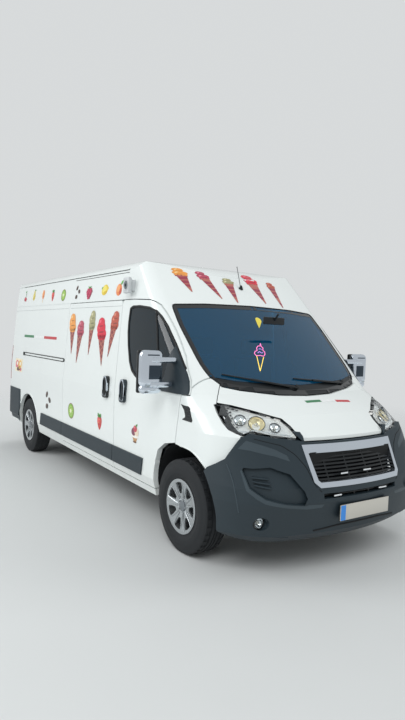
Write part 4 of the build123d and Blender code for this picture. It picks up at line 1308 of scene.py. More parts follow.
@dataclass
class Sides:
    """Handles, vents, rails, press lines, fuel flap and arch lips on the sides."""

    vent: list[Flat] = table(
        (2019, 1158), (2064, 1152), (2122, 1152), (2143, 1143), (2168, 1101), (2196, 1053), (2186, 1040),
        (2122, 1041), (2057, 1043), (2060, 1049), (2092, 1064), (2095, 1076), (2074, 1119), (2051, 1135))
    # Middle of each handle along the van, its hand and its body
    handles: list[tuple[float, str, str]] = table(
        (640, "right", "body"), (1025, "right", "front_door_right"), (1025, "left", "front_door_left"))
    handle_z: float = 1154.0
    handle_half: Flat = (50.0, 106.0)
    handle_face: float = 1052.0
    # Ends along the van and height of the dark lines along the roof rails and of the press lines, both painted shade
    rails: list[Spot] = table((-2606, 860, 2286), (-525, 860, 2262))
    presses: list[Spot] = table((-2860, -640, 1943), (-570, 800, 1943))
    # Middle and radius of the rear arch, and the run of the front one
    arch_mid: Flat = (-1984.0, 364.0)
    arch_radius: float = 452.0
    front_arch: list[Flat] = table(
        (1990, 836), (2045, 838), (2140, 836), (2230, 822), (2310, 790), (2372, 745), (2400, 722))

    def handle(self, x: float, hand: str, body: str) -> None:
        """Plate one handle's bezel and give it a grip with a lock.

        Args:
            x: its middle along the van.
            hand: right or left.
            body: body that it belongs to.
        """
        side, (half, tall) = dict(HANDS)[hand], self.handle_half
        face = side * self.handle_face
        form = Form()
        outer = []
        for u, v in blob((0, 0), self.handle_half, count=32):
            fuller = u * (1 + 0.24 * abs(v / tall) * abs(u / half))
            outer.append((x + max(-half, min(half, fuller)), face, self.handle_z + v))
        base = form.flat(outer)
        rim = bmesh.ops.inset_region(form.bm, faces=[base], thickness=11, use_even_offset=True,
                                     use_boundary=True)["faces"]
        bmesh.ops.delete(form.bm, geom=[base], context="FACES_ONLY")
        draw_out(form.bm, rim, Vector((0, -side * 16, 0)), keep=False)
        form.paint = 1
        y0, y1 = sorted((face - side * 26, face - side * 2))
        form.block((x - 12, y0, 1064), (x + 12, y1, 1244), 9.0, 3)
        form.paint = 0
        form.lathe([(0, 3), (9, 3), (10, 0), (10, -8), (0, -8)], (x - 24, face - side * 16, 1086), (0, side, 0), 24,
                   closed=True)
        form.finish(f"door_handle_{hand}_{x}", [CHROME, BLACK_PLASTIC], "chrome", body=body)

    def vents(self) -> None:
        """Fit the hooked black vents behind the headlamps."""
        skin = Skin("wing_right", "body_side_right", "front_door_right")
        form = Form()
        form.film(on_side(self.vent), skin, RIGHT, 3.0, 4.0, 40.0)
        for i in range(4):
            x, z = 2108 + i * 16, 1136 - i * 24
            form.rod(line_on(skin, on_side([(x - 28, z), (x + 30, z)]), RIGHT, 4.0, 30.0), 2.6, resolution=1)
        form.mirrored()
        form.finish("wing_vents", [BLACK_PLASTIC], "black_plastic")

    def lines(self) -> None:
        """Draw the painted shade lines along the roof rails and in the press lines, and the slide rail's cover."""
        skin = Skin("roof_panel", "body_side_right", "sliding_door", "roof_gutters")
        for name, rows, lift, radius, finish, slot in (
                ("roof_rail_lines", self.rails, -0.5, 3.2, GAP_BLACK, "black_plastic"),
                ("press_lines", self.presses, -1.6, 2.6, SHADE_GREY, "grey_plastic")):
            form = Form()
            for x0, x1, z in rows:
                form.rod(line_on(skin, on_side([(x0, z), (x1, z)]), RIGHT, lift, 90.0), radius, resolution=1)
            form.mirrored()
            form.finish(name, [finish], slot)
        rail = Form()
        rail.film(on_side(oblong(-2190, -640, 1327, 1347)), Skin("slide_rail"), RIGHT, 1.2, 1.0, 200.0)
        rail.finish("slide_rail_cover", [WHITE_PAINT], "white_paint")
        edges = Form()
        for z in (1317, 1357):
            edges.rod(line_on(skin, on_side([(-2215, z), (-640, z)]), RIGHT, 1.0, 120.0), 3.2, resolution=1)
        edges.block((-2226, -1036, 1312), (-2196, -1020, 1362), 5.0, 2)
        edges.finish("slide_rail_edges", [BLACK_PLASTIC], "black_plastic")

    def fuel_flap(self) -> None:
        """Lay the line of the fuel flap on the left side: a grey rod sunk into it, painted shade in its gap."""
        ring = clipped(590, 750, 880, 1040, 10)
        form = Form()
        form.rod(line_on(Skin("body_side_left"), on_side(ring + ring[:1], 1), LEFT, -1.2, 60.0), 2.2, resolution=1)
        form.finish("fuel_flap_line", [SHADE_GREY], "grey_plastic")

    def arches(self) -> None:
        """Roll the white lips of the front and rear wheel arches."""
        skin = Skin("wing_right", "body_side_right", "front_door_right", "sliding_door")
        form = Form()
        turns = [math.radians(a) for a in range(8, 173, 7)]
        rear = [(self.arch_mid[0] + self.arch_radius * math.cos(a), self.arch_mid[1] + self.arch_radius * math.sin(a))
                for a in turns]
        for arch in (rear, self.front_arch):
            form.rod(line_on(skin, on_side(arch), RIGHT, -3.0, 60.0), 7.0, smooth=True)
        form.mirrored()
        form.finish("arch_lips", [WHITE_PAINT], "white_paint")

    def build(self) -> None:
        """Make everything on the sides."""
        for row in self.handles:
            self.handle(*row)
        self.vents()
        self.lines()
        self.fuel_flap()
        self.arches()


@dataclass
class RoofGear:
    """Aerial, roof ribs and horn speaker."""

    rib_places: list[float] = table(-2500, -1960, -1420, -880, -340, 200)
    horn: Spot = (985.0, -1022.0, 2126.0)

    def build(self) -> None:
        """Make the roof gear."""
        skin = Skin("roof_panel")
        form = Form()
        base = skin.at((1386, 0, ABOVE), TOP)
        lean = Vector((-0.35, 0, 1)).normalized()
        form.lathe([(0, 34), (6, 32), (16, 14), (24, 0), (24, -6), (0, -6)], base, (0.3, 0, 1), 24, closed=True)
        form.rod([base + lean * 20, base + lean * 120, base + lean * 225], 3.0)
        form.ball(base + lean * 226, (4.5, 4.5, 4.5))
        form.finish("roof_aerial", [BLACK_PLASTIC], "black_plastic")
        ribs = Form()
        for x in self.rib_places:
            ribs.rod(line_on(skin, [(x, -640, ABOVE), (x, 640, ABOVE)], TOP, -11.5, 160.0), 13.0, smooth=True,
                     resolution=3)
        ribs.finish("roof_ribs", [WHITE_PAINT], "white_paint", sharp=60)
        horn = Form()
        horn.blocks([(0, (929, -1023, 2052), (1041, -985, 2200), 12.0, 3),
                     (0, (950, -990, 2072), (1020, -930, 2180), 14.0, 3)])
        for paint, profile in ((0, [(0, 0), (0, 1), (40, 1), (46, 5), (50, 5), (50, 0)]),
                               (1, [(14, 1), (14, 2.5), (38, 2.5), (38, 1)])):
            horn.paint = paint
            horn.lathe(profile, self.horn, (0, -1, 0), 40, closed=True)
        horn.finish("speaker_case", [SPEAKER_GREY, WHEEL_GREY], "black_plastic", ("horn_speaker",))


class Fruit(Enum):
    """The small pictures along the side."""

    CHERRY = "cherry"
    PEAR = "pear"
    LOLLY = "lolly"
    STRAWBERRY = "strawberry"
    KIWI = "kiwi"
    BEANS = "beans"
    RASPBERRY = "raspberry"
    LEMON = "lemon"
    PEACH = "peach"
    SUNDAE = "sundae"


# Layers of each picture from the back to the front, about (0, 0) and a unit tall: a colour, and either the
# corners of an outline or what blob() asks for
LAYERS: dict[Fruit, list[tuple]] = {
    Fruit.CHERRY: [
        ("#3f7a3a", [(-0.02, -0.1), (0.02, -0.08), (0.2, 0.36), (0.16, 0.38)]),
        ("#3f7a3a", [(0.24, -0.12), (0.28, -0.1), (0.2, 0.38), (0.16, 0.36)]),
        ("#4f9a3f", (0.04, 0.4), (0.18, 0.08), 20), ("#a3122a", (-0.1, -0.26), (0.2, 0.2)),
        ("#c2203a", (0.24, -0.3), (0.2, 0.19)), ("#e8717c", (-0.16, -0.18), (0.06, 0.05)),
        ("#f08a90", (0.18, -0.22), (0.06, 0.05))],
    Fruit.PEAR: [
        ("#c8b53a", (0, -0.16), (0.34, 0.32)), ("#d6c64e", (0.03, 0.16), (0.2, 0.26)),
        ("#ebe08a", (-0.1, -0.1), (0.1, 0.16), 10),
        ("#6b4a2a", [(0.02, 0.38), (0.06, 0.38), (0.1, 0.5), (0.06, 0.5)]),
        ("#5f9a3c", (0.2, 0.42), (0.14, 0.06), 20)],
    Fruit.LOLLY: [
        ("#d9b98a", [(-0.05, -0.5), (0.05, -0.5), (0.05, -0.2), (-0.05, -0.2)]),
        ("#e5853a", (0, 0.14), (0.27, 0.36)), ("#f2b06a", (-0.08, 0.22), (0.09, 0.2)),
        ("#c9662a", (0.12, 0.04), (0.05, 0.2))],
    Fruit.STRAWBERRY: [
        ("#c41f2c", (0, -0.06), (0.42, 0.42), 0, 20, 0.55), ("#e2444a", (-0.12, 0.06), (0.16, 0.18)),
        *(("#f3d27a", seed, (0.025, 0.035), 0, 6) for seed in (
            (-0.2, 0.1), (0.02, 0.14), (0.22, 0.08), (-0.12, -0.06), (0.12, -0.06), (0, -0.24), (-0.06, -0.38))),
        ("#3f8a3a", (0, 0.34), (0.26, 0.09)), ("#57a548", (0.12, 0.4), (0.14, 0.07), 30),
        ("#57a548", (-0.12, 0.4), (0.14, 0.07), -30)],
    Fruit.KIWI: [
        ("#7a5a34", (0, 0), (0.52, 0.48), 0, 22), ("#7fb53a", (0, 0), (0.46, 0.43), 0, 22),
        ("#a9d25c", (0, 0), (0.34, 0.31)),
        *(("#26301a", seed, (0.022, 0.03), 0, 6) for seed in blob((0, 0), (0.24, 0.22), 0, 10)),
        ("#e9efc8", (0, 0), (0.14, 0.12))],
    Fruit.BEANS: [
        layer for x, z, lean in ((-0.16, 0.3, 40), (0.28, 0.04, -20), (-0.12, -0.32, 10)) for layer in (
            ("#3a241a", (x, z), (0.2, 0.14), lean), ("#5a3a28", (x - 0.04, z + 0.03), (0.12, 0.06), lean),
            ("#1d110c", (x, z), (0.19, 0.02), lean, 10))],
    Fruit.RASPBERRY: [
        ("#8c1638", (0, -0.08), (0.5, 0.38), 0, 18, 0.3),
        *(("#a81d45" if (row + i) % 2 else "#c73460", ((i - (count - 1) / 2) * 0.22, 0.2 - row * 0.15),
           (0.13, 0.11), 0, 12) for row, count in enumerate((4, 5, 4, 3, 2)) for i in range(count)),
        ("#4b8c3c", (0, 0.34), (0.2, 0.07)), ("#6aa84a", (-0.16, 0.38), (0.12, 0.05), -25),
        ("#6aa84a", (0.16, 0.38), (0.12, 0.05), 25)],
    Fruit.LEMON: [
        ("#e2c93a", (0, 0), (0.58, 0.4), 12), ("#f0e06a", (-0.08, 0.05), (0.4, 0.26), 12),
        ("#e2c93a", (0.56, 0.12), (0.1, 0.09)), ("#d9b92a", (0.1, -0.2), (0.34, 0.12), 12),
        ("#5a9a3c", (-0.5, 0.16), (0.14, 0.06), 35)],
    Fruit.PEACH: [
        ("#e5864a", (-0.06, -0.1), (0.38, 0.36)), ("#f0a86a", (-0.16, -0.02), (0.2, 0.22)),
        ("#c9503a", (0.16, -0.2), (0.16, 0.2), -20), ("#4f9a3f", (0.26, 0.32), (0.2, 0.09), 35),
        ("#7cbc58", (0.26, 0.34), (0.14, 0.03), 35, 10)],
    Fruit.SUNDAE: [
        ("#b98a5a", [(-0.3, -0.18), (0.3, -0.18), (0.14, -0.44), (-0.14, -0.44)]),
        ("#f4efe8", (0, -0.16), (0.4, 0.1)), ("#7a3a52", (-0.16, 0.04), (0.24, 0.2)),
        ("#e9d6c0", (0.18, 0.06), (0.22, 0.2)), ("#c03a50", (0.02, 0.22), (0.2, 0.17)),
        ("#e0707c", (-0.04, 0.28), (0.08, 0.06)), ("#4b8c3c", (0.16, 0.4), (0.12, 0.05), 40),
        ("#6a4a34", (0, -0.46), (0.2, 0.04))]}

# Each ice and the light on it
ICES = {"orange": ("#ec9d48", "#f8cd8c"), "pink": ("#b8485f", "#e2899a"), "pistachio": ("#a5a277", "#d6d0aa"),
        "red": ("#d6203c", "#f06478"), "salmon": ("#b9523f", "#dd8a70")}


@dataclass(frozen=True)
class ConeRow:
    """One row of printed cones, and how it is laid on the van."""

    name: str
    wafer: str
    panels: tuple[str, ...]
    way: Spot
    place: Callable[[list[Flat]], list[Spot]]
    lift: float
    doubled: bool
    # Share of the ice's height, width and height of each scoop
    scoops: tuple[Spot, ...]
    # Top middle, width at the scoops' foot, height of the mouth, and tip, by ice
    cones: dict[str, tuple]


SIDE_ROW = ConeRow("side", "#83383a", ("body_side_right", "sliding_door"), RIGHT, on_side, 1.0, True,
                   ((0.18, 0.98, 0.52), (0.48, 0.92, 0.60), (0.74, 0.70, 0.46)), {
                       "orange": ((-472, 1878), 205, 1694, (-423, 1421)),
                       "pink": ((-190, 1798), 205, 1650, (-241, 1330)),
                       "pistachio": ((122, 1904), 170, 1724, (81, 1436)),
                       "red": ((346, 1829), 225, 1630, (449, 1344)),
                       "salmon": ((706, 1891), 185, 1731, (585, 1442))})
ROOF_ROW = ConeRow("roof", "#97364a", ("roof_panel",), FRONT, on_front, 3.0, False,
                   ((0.30, 0.98, 0.46), (0.72, 0.72, 0.42)), {
                       "orange": ((-608, 2310), 160, 2240, (-571, 2079)),
                       "pink": ((-392, 2296), 136, 2226, (-294, 2033)),
                       "pistachio": ((-112, 2250), 140, 2196, (-136, 2005)),
                       "red": ((178, 2314), 178, 2222, (216, 2019)),
                       "salmon": ((448, 2258), 122, 2198, (430, 1993))})


@dataclass
class Stickers:
    """Printed vinyl on the panels: cones, fruit and the three-colour stripes, in plain drawings of their own."""

    rows: list[ConeRow] = table(SIDE_ROW, ROOF_ROW)
    # Picture, middle along the van, height of its middle, height, body
    fruit: list[tuple[Fruit, float, float, float, str]] = table(
        (Fruit.CHERRY, -2500, 2153, 156, "body"), (Fruit.PEAR, -2085, 2155, 156, "body"),
        (Fruit.LOLLY, -1680, 2125, 168, "body"), (Fruit.STRAWBERRY, -1285, 2120, 150, "body"),
        (Fruit.KIWI, -890, 2110, 150, "body"), (Fruit.BEANS, -430, 2125, 165, "body"),
        (Fruit.RASPBERRY, -75, 2110, 150, "body"), (Fruit.LEMON, 338, 2117, 135, "body"),
        (Fruit.PEACH, 690, 2120, 165, "body"), (Fruit.BEANS, -1136, 805, 235, "body"),
        (Fruit.KIWI, -320, 785, 182, "body"), (Fruit.STRAWBERRY, 485, 785, 172, "body"),
        (Fruit.SUNDAE, 1275, 805, 175, "front_door_right"), (Fruit.SUNDAE, 1275, 805, 175, "front_door_left"))
    # Paint, middle and half sizes of each spot on the square notice
    notice: list[tuple[int, Flat, Flat]] = table(
        (1, (-2560, 1172), (70, 55)), (2, (-2420, 1168), (80, 60)), (3, (-2470, 1106), (95, 30)),
        (1, (-2380, 1100), (50, 24)), (4, (-2545, 1180), (34, 28)), (4, (-2400, 1180), (38, 28)))

    def cone(self, form: Form, skin: Skin, row: ConeRow, ice: str) -> None:
        """Lay one cone with its scoops.

        Args:
            form: the piece that it joins, with paints 0 wafer, 1 ice, 2 highlight, 3 shade.
            skin: the surface under it.
            row: the row that it stands in.
            ice: name of its ice.
        """
        top, width, mouth, tip = row.cones[ice]
        half, tall = width / 2, top[1] - mouth
        lean = (top[0] - tip[0]) / (top[1] - tip[1])

        def axis(z: float) -> float:
            """Find the cone's middle line at a height."""
            return tip[0] + lean * (z - tip[1])

        def lay(paint: int, outline: list[Flat], lift: float, thick: float = 0.4) -> None:
            """Lay one layer of the print, so much over the lowest one."""
            form.paint = paint
            form.film(row.place(outline), skin, row.way, row.lift + lift, thick)

        m = axis(mouth)
        lay(0, [(m - half * 0.74, mouth + 8), (m, mouth + 14), (m + half * 0.74, mouth + 8),
                (tip[0] + 7, tip[1] + 6), (tip[0], tip[1]), (tip[0] - 7, tip[1] + 6)], 0.0)
        lay(0, [(m - half * 0.82, mouth + 12), (m + half * 0.82, mouth + 12), (m + half * 0.76, mouth - 14),
                (m - half * 0.76, mouth - 14)], 0.5)
        for number, (share, wide, high) in enumerate(row.scoops):
            z, wide, high, up = mouth + tall * share, half * wide, tall * high, number * 0.8
            lay(1, blob((axis(z) + half * 0.05 * (-1) ** number, z), (wide, high * 0.62)), 1.0 + up)
            lay(3, blob((axis(z) + half * 0.1, z - high * 0.34), (wide * 0.6, high * 0.07), 4, 12), 1.4 + up, 0.3)
            lay(2, blob((axis(z) - wide * 0.34, z + high * 0.16), (wide * 0.36, high * 0.18), 24, 12), 1.4 + up, 0.3)
        for step in (-0.62, -0.2, 0.3, 0.66):
            lay(1, blob((m + half * step, mouth + 4), (half * 0.2, tall * 0.13), 0, 10), 1.0)

    def cones(self) -> None:
        """Lay the five cones on the side and the five over the windscreen."""
        for row in self.rows:
            skin = Skin(*row.panels)
            wafer = WafflePrint(f"wafer_{row.name}", row.wafer, 0.3, coat=0.25, tone_mm=60.0, tone_shift=0.12)
            for name in row.cones:
                form = Form()
                self.cone(form, skin, row, name)
                if row.doubled:
                    form.mirrored()
                ice, light = ICES[name]
                form.finish(f"cone_{row.name}_{name}", [wafer, vinyl(name, ice), vinyl(name + "_light", light),
                                                        vinyl(name + "_deep", deeper(ice))],
                            "plate_white")

    def pictures(self) -> None:
        """Lay the fruit on the sides, each layer over the one before."""
        skins = {"body": Skin("body_side_right", "sliding_door", "roof_panel"),
                 "front_door_right": Skin("front_door_right"), "front_door_left": Skin("front_door_left")}
        for number, (kind, x, z, tall, body) in enumerate(self.fruit):
            side = 1 if body == "front_door_left" else -1
            form = Form()
            colours: list[str] = []
            for level, (colour, *shape) in enumerate(LAYERS[kind]):
                outline = shape[0] if isinstance(shape[0], list) else blob(*shape)
                if colour not in colours:
                    colours.append(colour)
                form.paint = colours.index(colour)
                form.film(on_side([(x + u * tall, z + v * tall) for u, v in outline], side), skins[body],
                          (0, -side, 0), 0.9 + 0.35 * min(level, 9), 0.3)
            if body == "body":
                form.mirrored()
            form.finish(f"print_{kind.value}_{number}", [vinyl(c[1:], c) for c in colours], "plate_white", body=body)

    def stripes(self) -> None:
        """Lay the green, white and red stripes and the square notice."""
        side, bonnet = Skin("body_side_right"), Skin("bonnet")
        form = Form()
        for paint, (x0, x1) in enumerate(((-2329, -1879), (-1879, -1447), (-1447, -963))):
            form.paint = paint
            form.film(on_side(oblong(x0, x1, 1567, 1601)), side, RIGHT, 1.0, 0.4)
        form.mirrored()
        form.finish("side_stripe", STRIPES, "plate_white")
        form = Form()
        for paint, (y0, y1) in enumerate(((-107, 65), (65, 237), (237, 409))):
            form.paint = paint
            form.film([(2428, y0, 1500), (2456, y0, 1500), (2452, y1, 1500), (2424, y1, 1500)], bonnet, TOP, 1.4, 0.5)
        form.finish("bonnet_stripe", STRIPES, "plate_white", body="bonnet")
        form = Form()
        form.film(on_side(oblong(-2650, -2300, 1064, 1250)), side, RIGHT, 0.9, 0.4)
        for paint, centre, half in self.notice:
            form.paint = paint
            form.film(on_side(blob(centre, half, 8)), side, RIGHT, 1.3 + 0.3 * paint, 0.3)
        form.finish("square_notice", [
            vinyl("cream", "#efe3c4"), vinyl("sorbet_pink", "#d9647a"), vinyl("mango", "#e8b23c"),
            vinyl("cocoa", "#5d3a28"), vinyl("vanilla", "#f6eeda")], "plate_white")

    def build(self) -> None:
        """Lay all the stickers."""
        self.cones()
        self.pictures()
        self.stripes()


@dataclass
class Rear:
    """Lamps, pressed blanks, handle, plate, step ribs, skirts and reflectors at the back."""

    tail: float = -2945.0
    # Paint, foot and top of each field of the tail lamps, and the bars between them
    fields: list[tuple[int, float, float]] = table((0, 1292, 1412), (1, 1180, 1272), (2, 1072, 1160), (0, 948, 1052))
    lamp_bars: list[float] = table(1282, 1170, 1062)
    lamp_sides: Flat = (-1012.0, -886.0)
    # Foot and top of the pressed window blanks, their sides, their cut corners and the margin inside the bead
    blanks: list[Flat] = table((1560, 2130), (800, 1440))
    blank_sides: Flat = (70.0, 700.0)
    blank_corner: float = 60.0
    blank_margin: float = 16.0
    # Place of the first rib of the step, their pitch and their number
    step_ribs: tuple[float, float, int] = (-2962.0, 4.0, 7)

    def lamps(self) -> None:
        """Divide the tail lamps into their red, amber and clear fields, and fit the high stop lamp."""
        skin, (y0, y1) = Skin("tail_lamps"), self.lamp_sides
        form = Form()
        for paint, z0, z1 in self.fields:
            form.paint = paint
            form.film(on_tail(oblong(y0, y1, z0, z1)), skin, TAIL, 3.0, 3.0, 40.0)
        form.paint = 3
        for z in self.lamp_bars:
            form.rod(line_on(skin, on_tail([(y0, z), (y1, z)]), TAIL, 1.0, 30.0), 5.0, resolution=1)
        form.mirrored()
        form.finish("tail_lamp_fields", [RED_LENS, AMBER_LENS, WHITE_LENS, BLACK_PLASTIC], "red_lens")
        high, t = Form(), self.tail
        high.blocks([(0, (t - 16, -150, 2300), (t + 14, 150, 2326), 6.0, 2),
                     (1, (t - 20, -140, 2305), (t - 8, 140, 2321), 4.0, 2)])
        high.finish("high_stop_lamp", [BLACK_PLASTIC, RED_LENS], "red_lens")

    def doors(self) -> None:
        """Press the window blanks and fit handle and plate on the rear doors."""
        (y0, y1), corner, margin, t = self.blank_sides, self.blank_corner, self.blank_margin, self.tail
        for hand, side in HANDS:
            skin = Skin(f"rear_door_{hand}")
            blank = Form()
            for z0, z1 in self.blanks:
                ring = clipped(y0, y1, z0, z1, corner)
                line = line_on(skin, on_tail([(side * y, z) for y, z in ring + ring[:1]]), TAIL, -2.0, 120.0)
                blank.rod(line, 6.0)
                inner = clipped(y0 + margin, y1 - margin, z0 + margin, z1 - margin, corner - 2)
                blank.film(on_tail([(side * y, z) for y, z in inner]), skin, TAIL, 2.0, 2.5, 150.0)
            blank.finish(f"rear_blanks_{hand}", [WHITE_PAINT], "white_paint", body=f"rear_door_{hand}")
        latch = Form()
        latch.blocks([(0, (t - 30, -110, 1040), (t + 4, -40, 1290), 14.0, 3),
                      (1, (t - 36, -88, 1070), (t - 18, -62, 1262), 8.0, 3)])
        latch.finish("rear_handle", [BLACK_PLASTIC, CHROME], "black_plastic", body="rear_door_right")
        plate = Form()
        plate.blocks([(0, (t - 10, 110, 640), (t + 2, 640, 756), 4.0, 2),
                      (1, (t - 12.5, 115, 645), (t - 6, 635, 751), 2.0, 2),
                      (2, (t - 13.4, 592, 648), (t - 9, 632, 748), 0.6, 1),
                      (0, (t - 34, 240, 764), (t + 2, 510, 792), 9.0, 3)])
        plate.finish("rear_plate", [BLACK_PLASTIC, PLATE_WHITE, PLATE_BLUE], "plate_white", body="rear_door_left")

    def bumper(self) -> None:
        """Rib the tread of the step, clothe the corners under it and fit the reflectors."""
        skin, wall = Skin("rear_bumper"), Skin("body_side_right")
        ribs = Form()
        start, pitch, count = self.step_ribs
        for i in range(count):
            x = start + i * pitch
            ribs.rod(line_on(skin, [(x, -700, 1000), (x, 700, 1000)], TOP, 0.5, 400.0), 1.4, resolution=1)
        ribs.finish("step_ribs", [GREY_PLASTIC], "grey_plastic")
        skirt = Form()
        skirt.film(on_side(oblong(-2975, -2420, 325, 470)), wall, RIGHT, 1.5, 0.8, 40.0)
        skirt.film(on_tail(oblong(-1040, -780, 325, 470)), wall, TAIL, 1.5, 0.8, 20.0)
        skirt.mirrored()
        skirt.finish("rear_skirts", [GREY_PLASTIC], "grey_plastic")
        eyes = Form()
        eyes.film(on_tail(oblong(-940, -820, 508, 532)), skin, TAIL, 0.5, 0.4, 20.0)
        eyes.mirrored()
        eyes.finish("rear_reflectors", [RED_LENS], "red_lens")

    def build(self) -> None:
        """Make everything at the back."""
        self.lamps()
        self.doors()
        self.bumper()


@dataclass
class Cab:
    """Seat cushions, steering wheel, instruments and controls in the cab."""

    # Name, middle across the cab and width of each seat
    seats: list[tuple[str, float, float]] = table(
        ("driver", 470.0, 470.0), ("middle", -165.0, 400.0), ("outer", -585.0, 420.0))
    # Middle across the cab and half width of each seat box
    boxes: list[Flat] = table((470, 205), (-365, 410))
    # Sewn channels: how deep and how wide they are drawn in
    seam_depth: float = 7.0
    seam_width: float = 9.0
    waist: float = 0.02
    wheel_mid: Spot = (1545.0, 470.0, 1130.0)
    rim_radius: float = 180.0
    rim_thick: float = 14.5
    vent_places: list[float] = table(-760, -500, 170, 720)

    def cushion(self, name: str, low: tuple, high: tuple, lean: float, crown: float, channels: int) -> None:
        """Make one cushion: crowned, drawn in between its corners, with sewn channels.

        Args:
            name: the piece's name.
            low: its lowest corner before it leans.
            high: its highest corner.
            lean: backward lean in degrees.
            crown: how far its middle rises.
            channels: number of sewn lines along it.
        """
        form = Form()
        low, high = Vector(low), Vector(high)
        form.block(tuple(low), tuple(high), min(high - low) * 0.32, 3)
        dice(form.bm, 28.0)
        mid, half = (low + high) / 2, (high - low) / 2
        thin = min(range(3), key=lambda axis: half[axis])
        wide = [axis for axis in range(3) if axis != thin]
        for vert in form.bm.verts:
            p = vert.co - mid
            u, v = (max(-1.0, min(1.0, p[axis] / half[axis])) for axis in wide)
            swell = (1 - u * u) * (1 - v * v)
            vert.co[thin] += math.copysign(crown * swell, p[thin]) if abs(p[thin]) > 1 else 0.0
            vert.co[wide[0]] -= p[wide[0]] * self.waist * (1 - v * v)
            vert.co[wide[1]] -= p[wide[1]] * self.waist * (1 - u * u)
            for i in range(channels):
                seam = -0.6 + 1.2 * i / max(1, channels - 1)
                away = (u - seam) * half[wide[0]] if wide[0] == 1 else (v - seam) * half[wide[1]]
                if abs(p[thin]) > half[thin] * 0.5:
                    vert.co[thin] -= math.copysign(self.seam_depth * math.exp(-(away / self.seam_width) ** 2),
                                                   p[thin])
        turn = Matrix.Rotation(math.radians(-lean), 3, "Y")
        pivot = Vector((mid.x, mid.y, low.z))
        bmesh.ops.rotate(form.bm, cent=pivot, matrix=turn, verts=form.bm.verts)
        piece = form.finish(name, [SEAT_CLOTH], "seat_cloth", ("seats",), sharp=180)
        smooth = piece.modifiers.new("smooth", "SUBSURF")
        smooth.levels = smooth.render_levels = 1

    def sit(self) -> None:
        """Make the cushions, backs, headrests and seat boxes."""
        for name, y, width in self.seats:
            w = width / 2 - 10
            self.cushion(f"seat_cushion_{name}", (1060, y - w, 818), (1522, y + w, 940), 0.0, 14.0, 3)
            self.cushion(f"seat_back_{name}", (1050, y - w, 905), (1165, y + w, 1480), 8.0, 12.0, 3)
            self.cushion(f"headrest_{name}", (958, y - 125, 1506), (1040, y + 125, 1675), 4.0, 8.0, 0)
        form = Form()
        for _, y, _ in self.seats:
            for aside in (-50, 50):
                form.rod([(1020, y + aside, 1440), (1000, y + aside, 1540)], 6.0)
        form.paint = 1
        for y, w in self.boxes:
            form.block((1062, y - w, 546), (1478, y + w, 816), 18.0, 3)
        form.finish("seat_boxes", [CHROME, BLACK_PLASTIC], "black_plastic", ("seats",))

    def wheel(self) -> None:
        """Make the steering wheel with its rim, spokes and airbag cover."""
        axis, up = Vector((-0.722, 0, 0.692)).normalized(), Vector((0.692, 0, 0.722)).normalized()
        across = Vector((0, 1, 0))
        centre = Vector(self.wheel_mid)
        form = Form()
        form.lathe(blob((self.rim_radius, 0), (self.rim_thick, self.rim_thick), 0, 12), centre, axis, 56, closed=True)
        form.lathe([(0, 14), (40, 12), (58, 4), (60, -14), (0, -14)], centre, axis, 36, closed=True)
        for way in (across, -across, -up):
            side = way.cross(axis).normalized()
            a, b = centre + way * 48, centre + way * 172
            outline = [a - side * 26, b - side * 17, b + side * 17, a + side * 26]
            form.slab([p - axis * 7 for p in outline], axis * 14, 4.0, 2)
        form.finish("steering_rim", [BLACK_PLASTIC], "black_plastic", ("steering_wheel",), body="steering_wheel")

    def board(self) -> None:
        """Fit instruments, vents, screen and glove box on the dashboard."""
        form = Form()
        form.blocks([(0, (1650, 330, 1150), (1850, 610, 1250), 24.0, 4),
                     (1, (1646, 350, 1165), (1656, 590, 1236), 4.0, 2),
                     (1, (1640, -90, 1040), (1652, 130, 1140), 5.0, 2)])
        form.blocks([(2, (1652, y - 55, 1128 - i * 14), (1664, y + 55, 1134 - i * 14), 2.0, 2)
                     for y in self.vent_places for i in range(4)])
        form.blocks([(2, (1634, -740, 930), (1644, -330, 1080), 8.0, 2)])
        form.rod([(1690, 60, 960), (1640, 60, 1010), (1618, 60, 1046)], 9.0, smooth=True, resolution=3)
        form.ball((1614, 60, 1056), (24, 24, 28))
        form.finish("dash_fittings", [GREY_PLASTIC, CERAMIC_FRIT, BLACK_PLASTIC], "black_plastic")

    def build(self) -> None:
        """Make the cab's furniture."""
        self.sit()
        self.wheel()
        self.board()


@dataclass
class Serving:
    """Door fronts, bars and tub lids of the gelato cabinet in the load space."""

    low: Spot = (-1000.0, -870.0, 545.0)
    high: Spot = (700.0, -250.0, 1455.0)
    fronts: int = 3
    front_pitch: float = 555.0
    tubs: int = 5
    tub_pitch: float = 325.0

    def build(self) -> None:
        """Make the cabinet's fittings."""
        x0, y0, _ = self.low
        x1, y1, top = self.high
        trim = Form()
        trim.block((x0 + 2, y1 - 4, 600), (x1 - 2, y1, 1330), 2.0, 1)
        for i in range(self.fronts):
            a = x0 + 30 + i * self.front_pitch
            trim.block((a, y1 - 2, 640), (a + 530, y1 + 8, 1290), 5.0, 2)
            trim.rod([(a + along, y1 + out, 1240) for along, out in ((40, 6), (40, 26), (490, 26), (490, 6))], 7.0)
        trim.finish("cabinet_fronts", [BRUSHED_STEEL], "cabinet_steel")
        lids = Form()
        for i in range(self.tubs):
            a = x0 + 60 + i * self.tub_pitch
            lids.paint = 0
            lids.block((a, y0 + 60, top - 6), (a + 290, y1 - 80, top + 14), 8.0, 3)
            lids.paint = 1
            lids.lathe([(0, 52), (14, 50), (18, 40), (8, 26), (8, 10), (0, 10)], (a + 145, (y0 + y1) / 2, top),
                       (0, 0, 1), 24, closed=True)
        lids.finish("tub_lids", [BRUSHED_STEEL, BLACK_PLASTIC], "cabinet_steel")


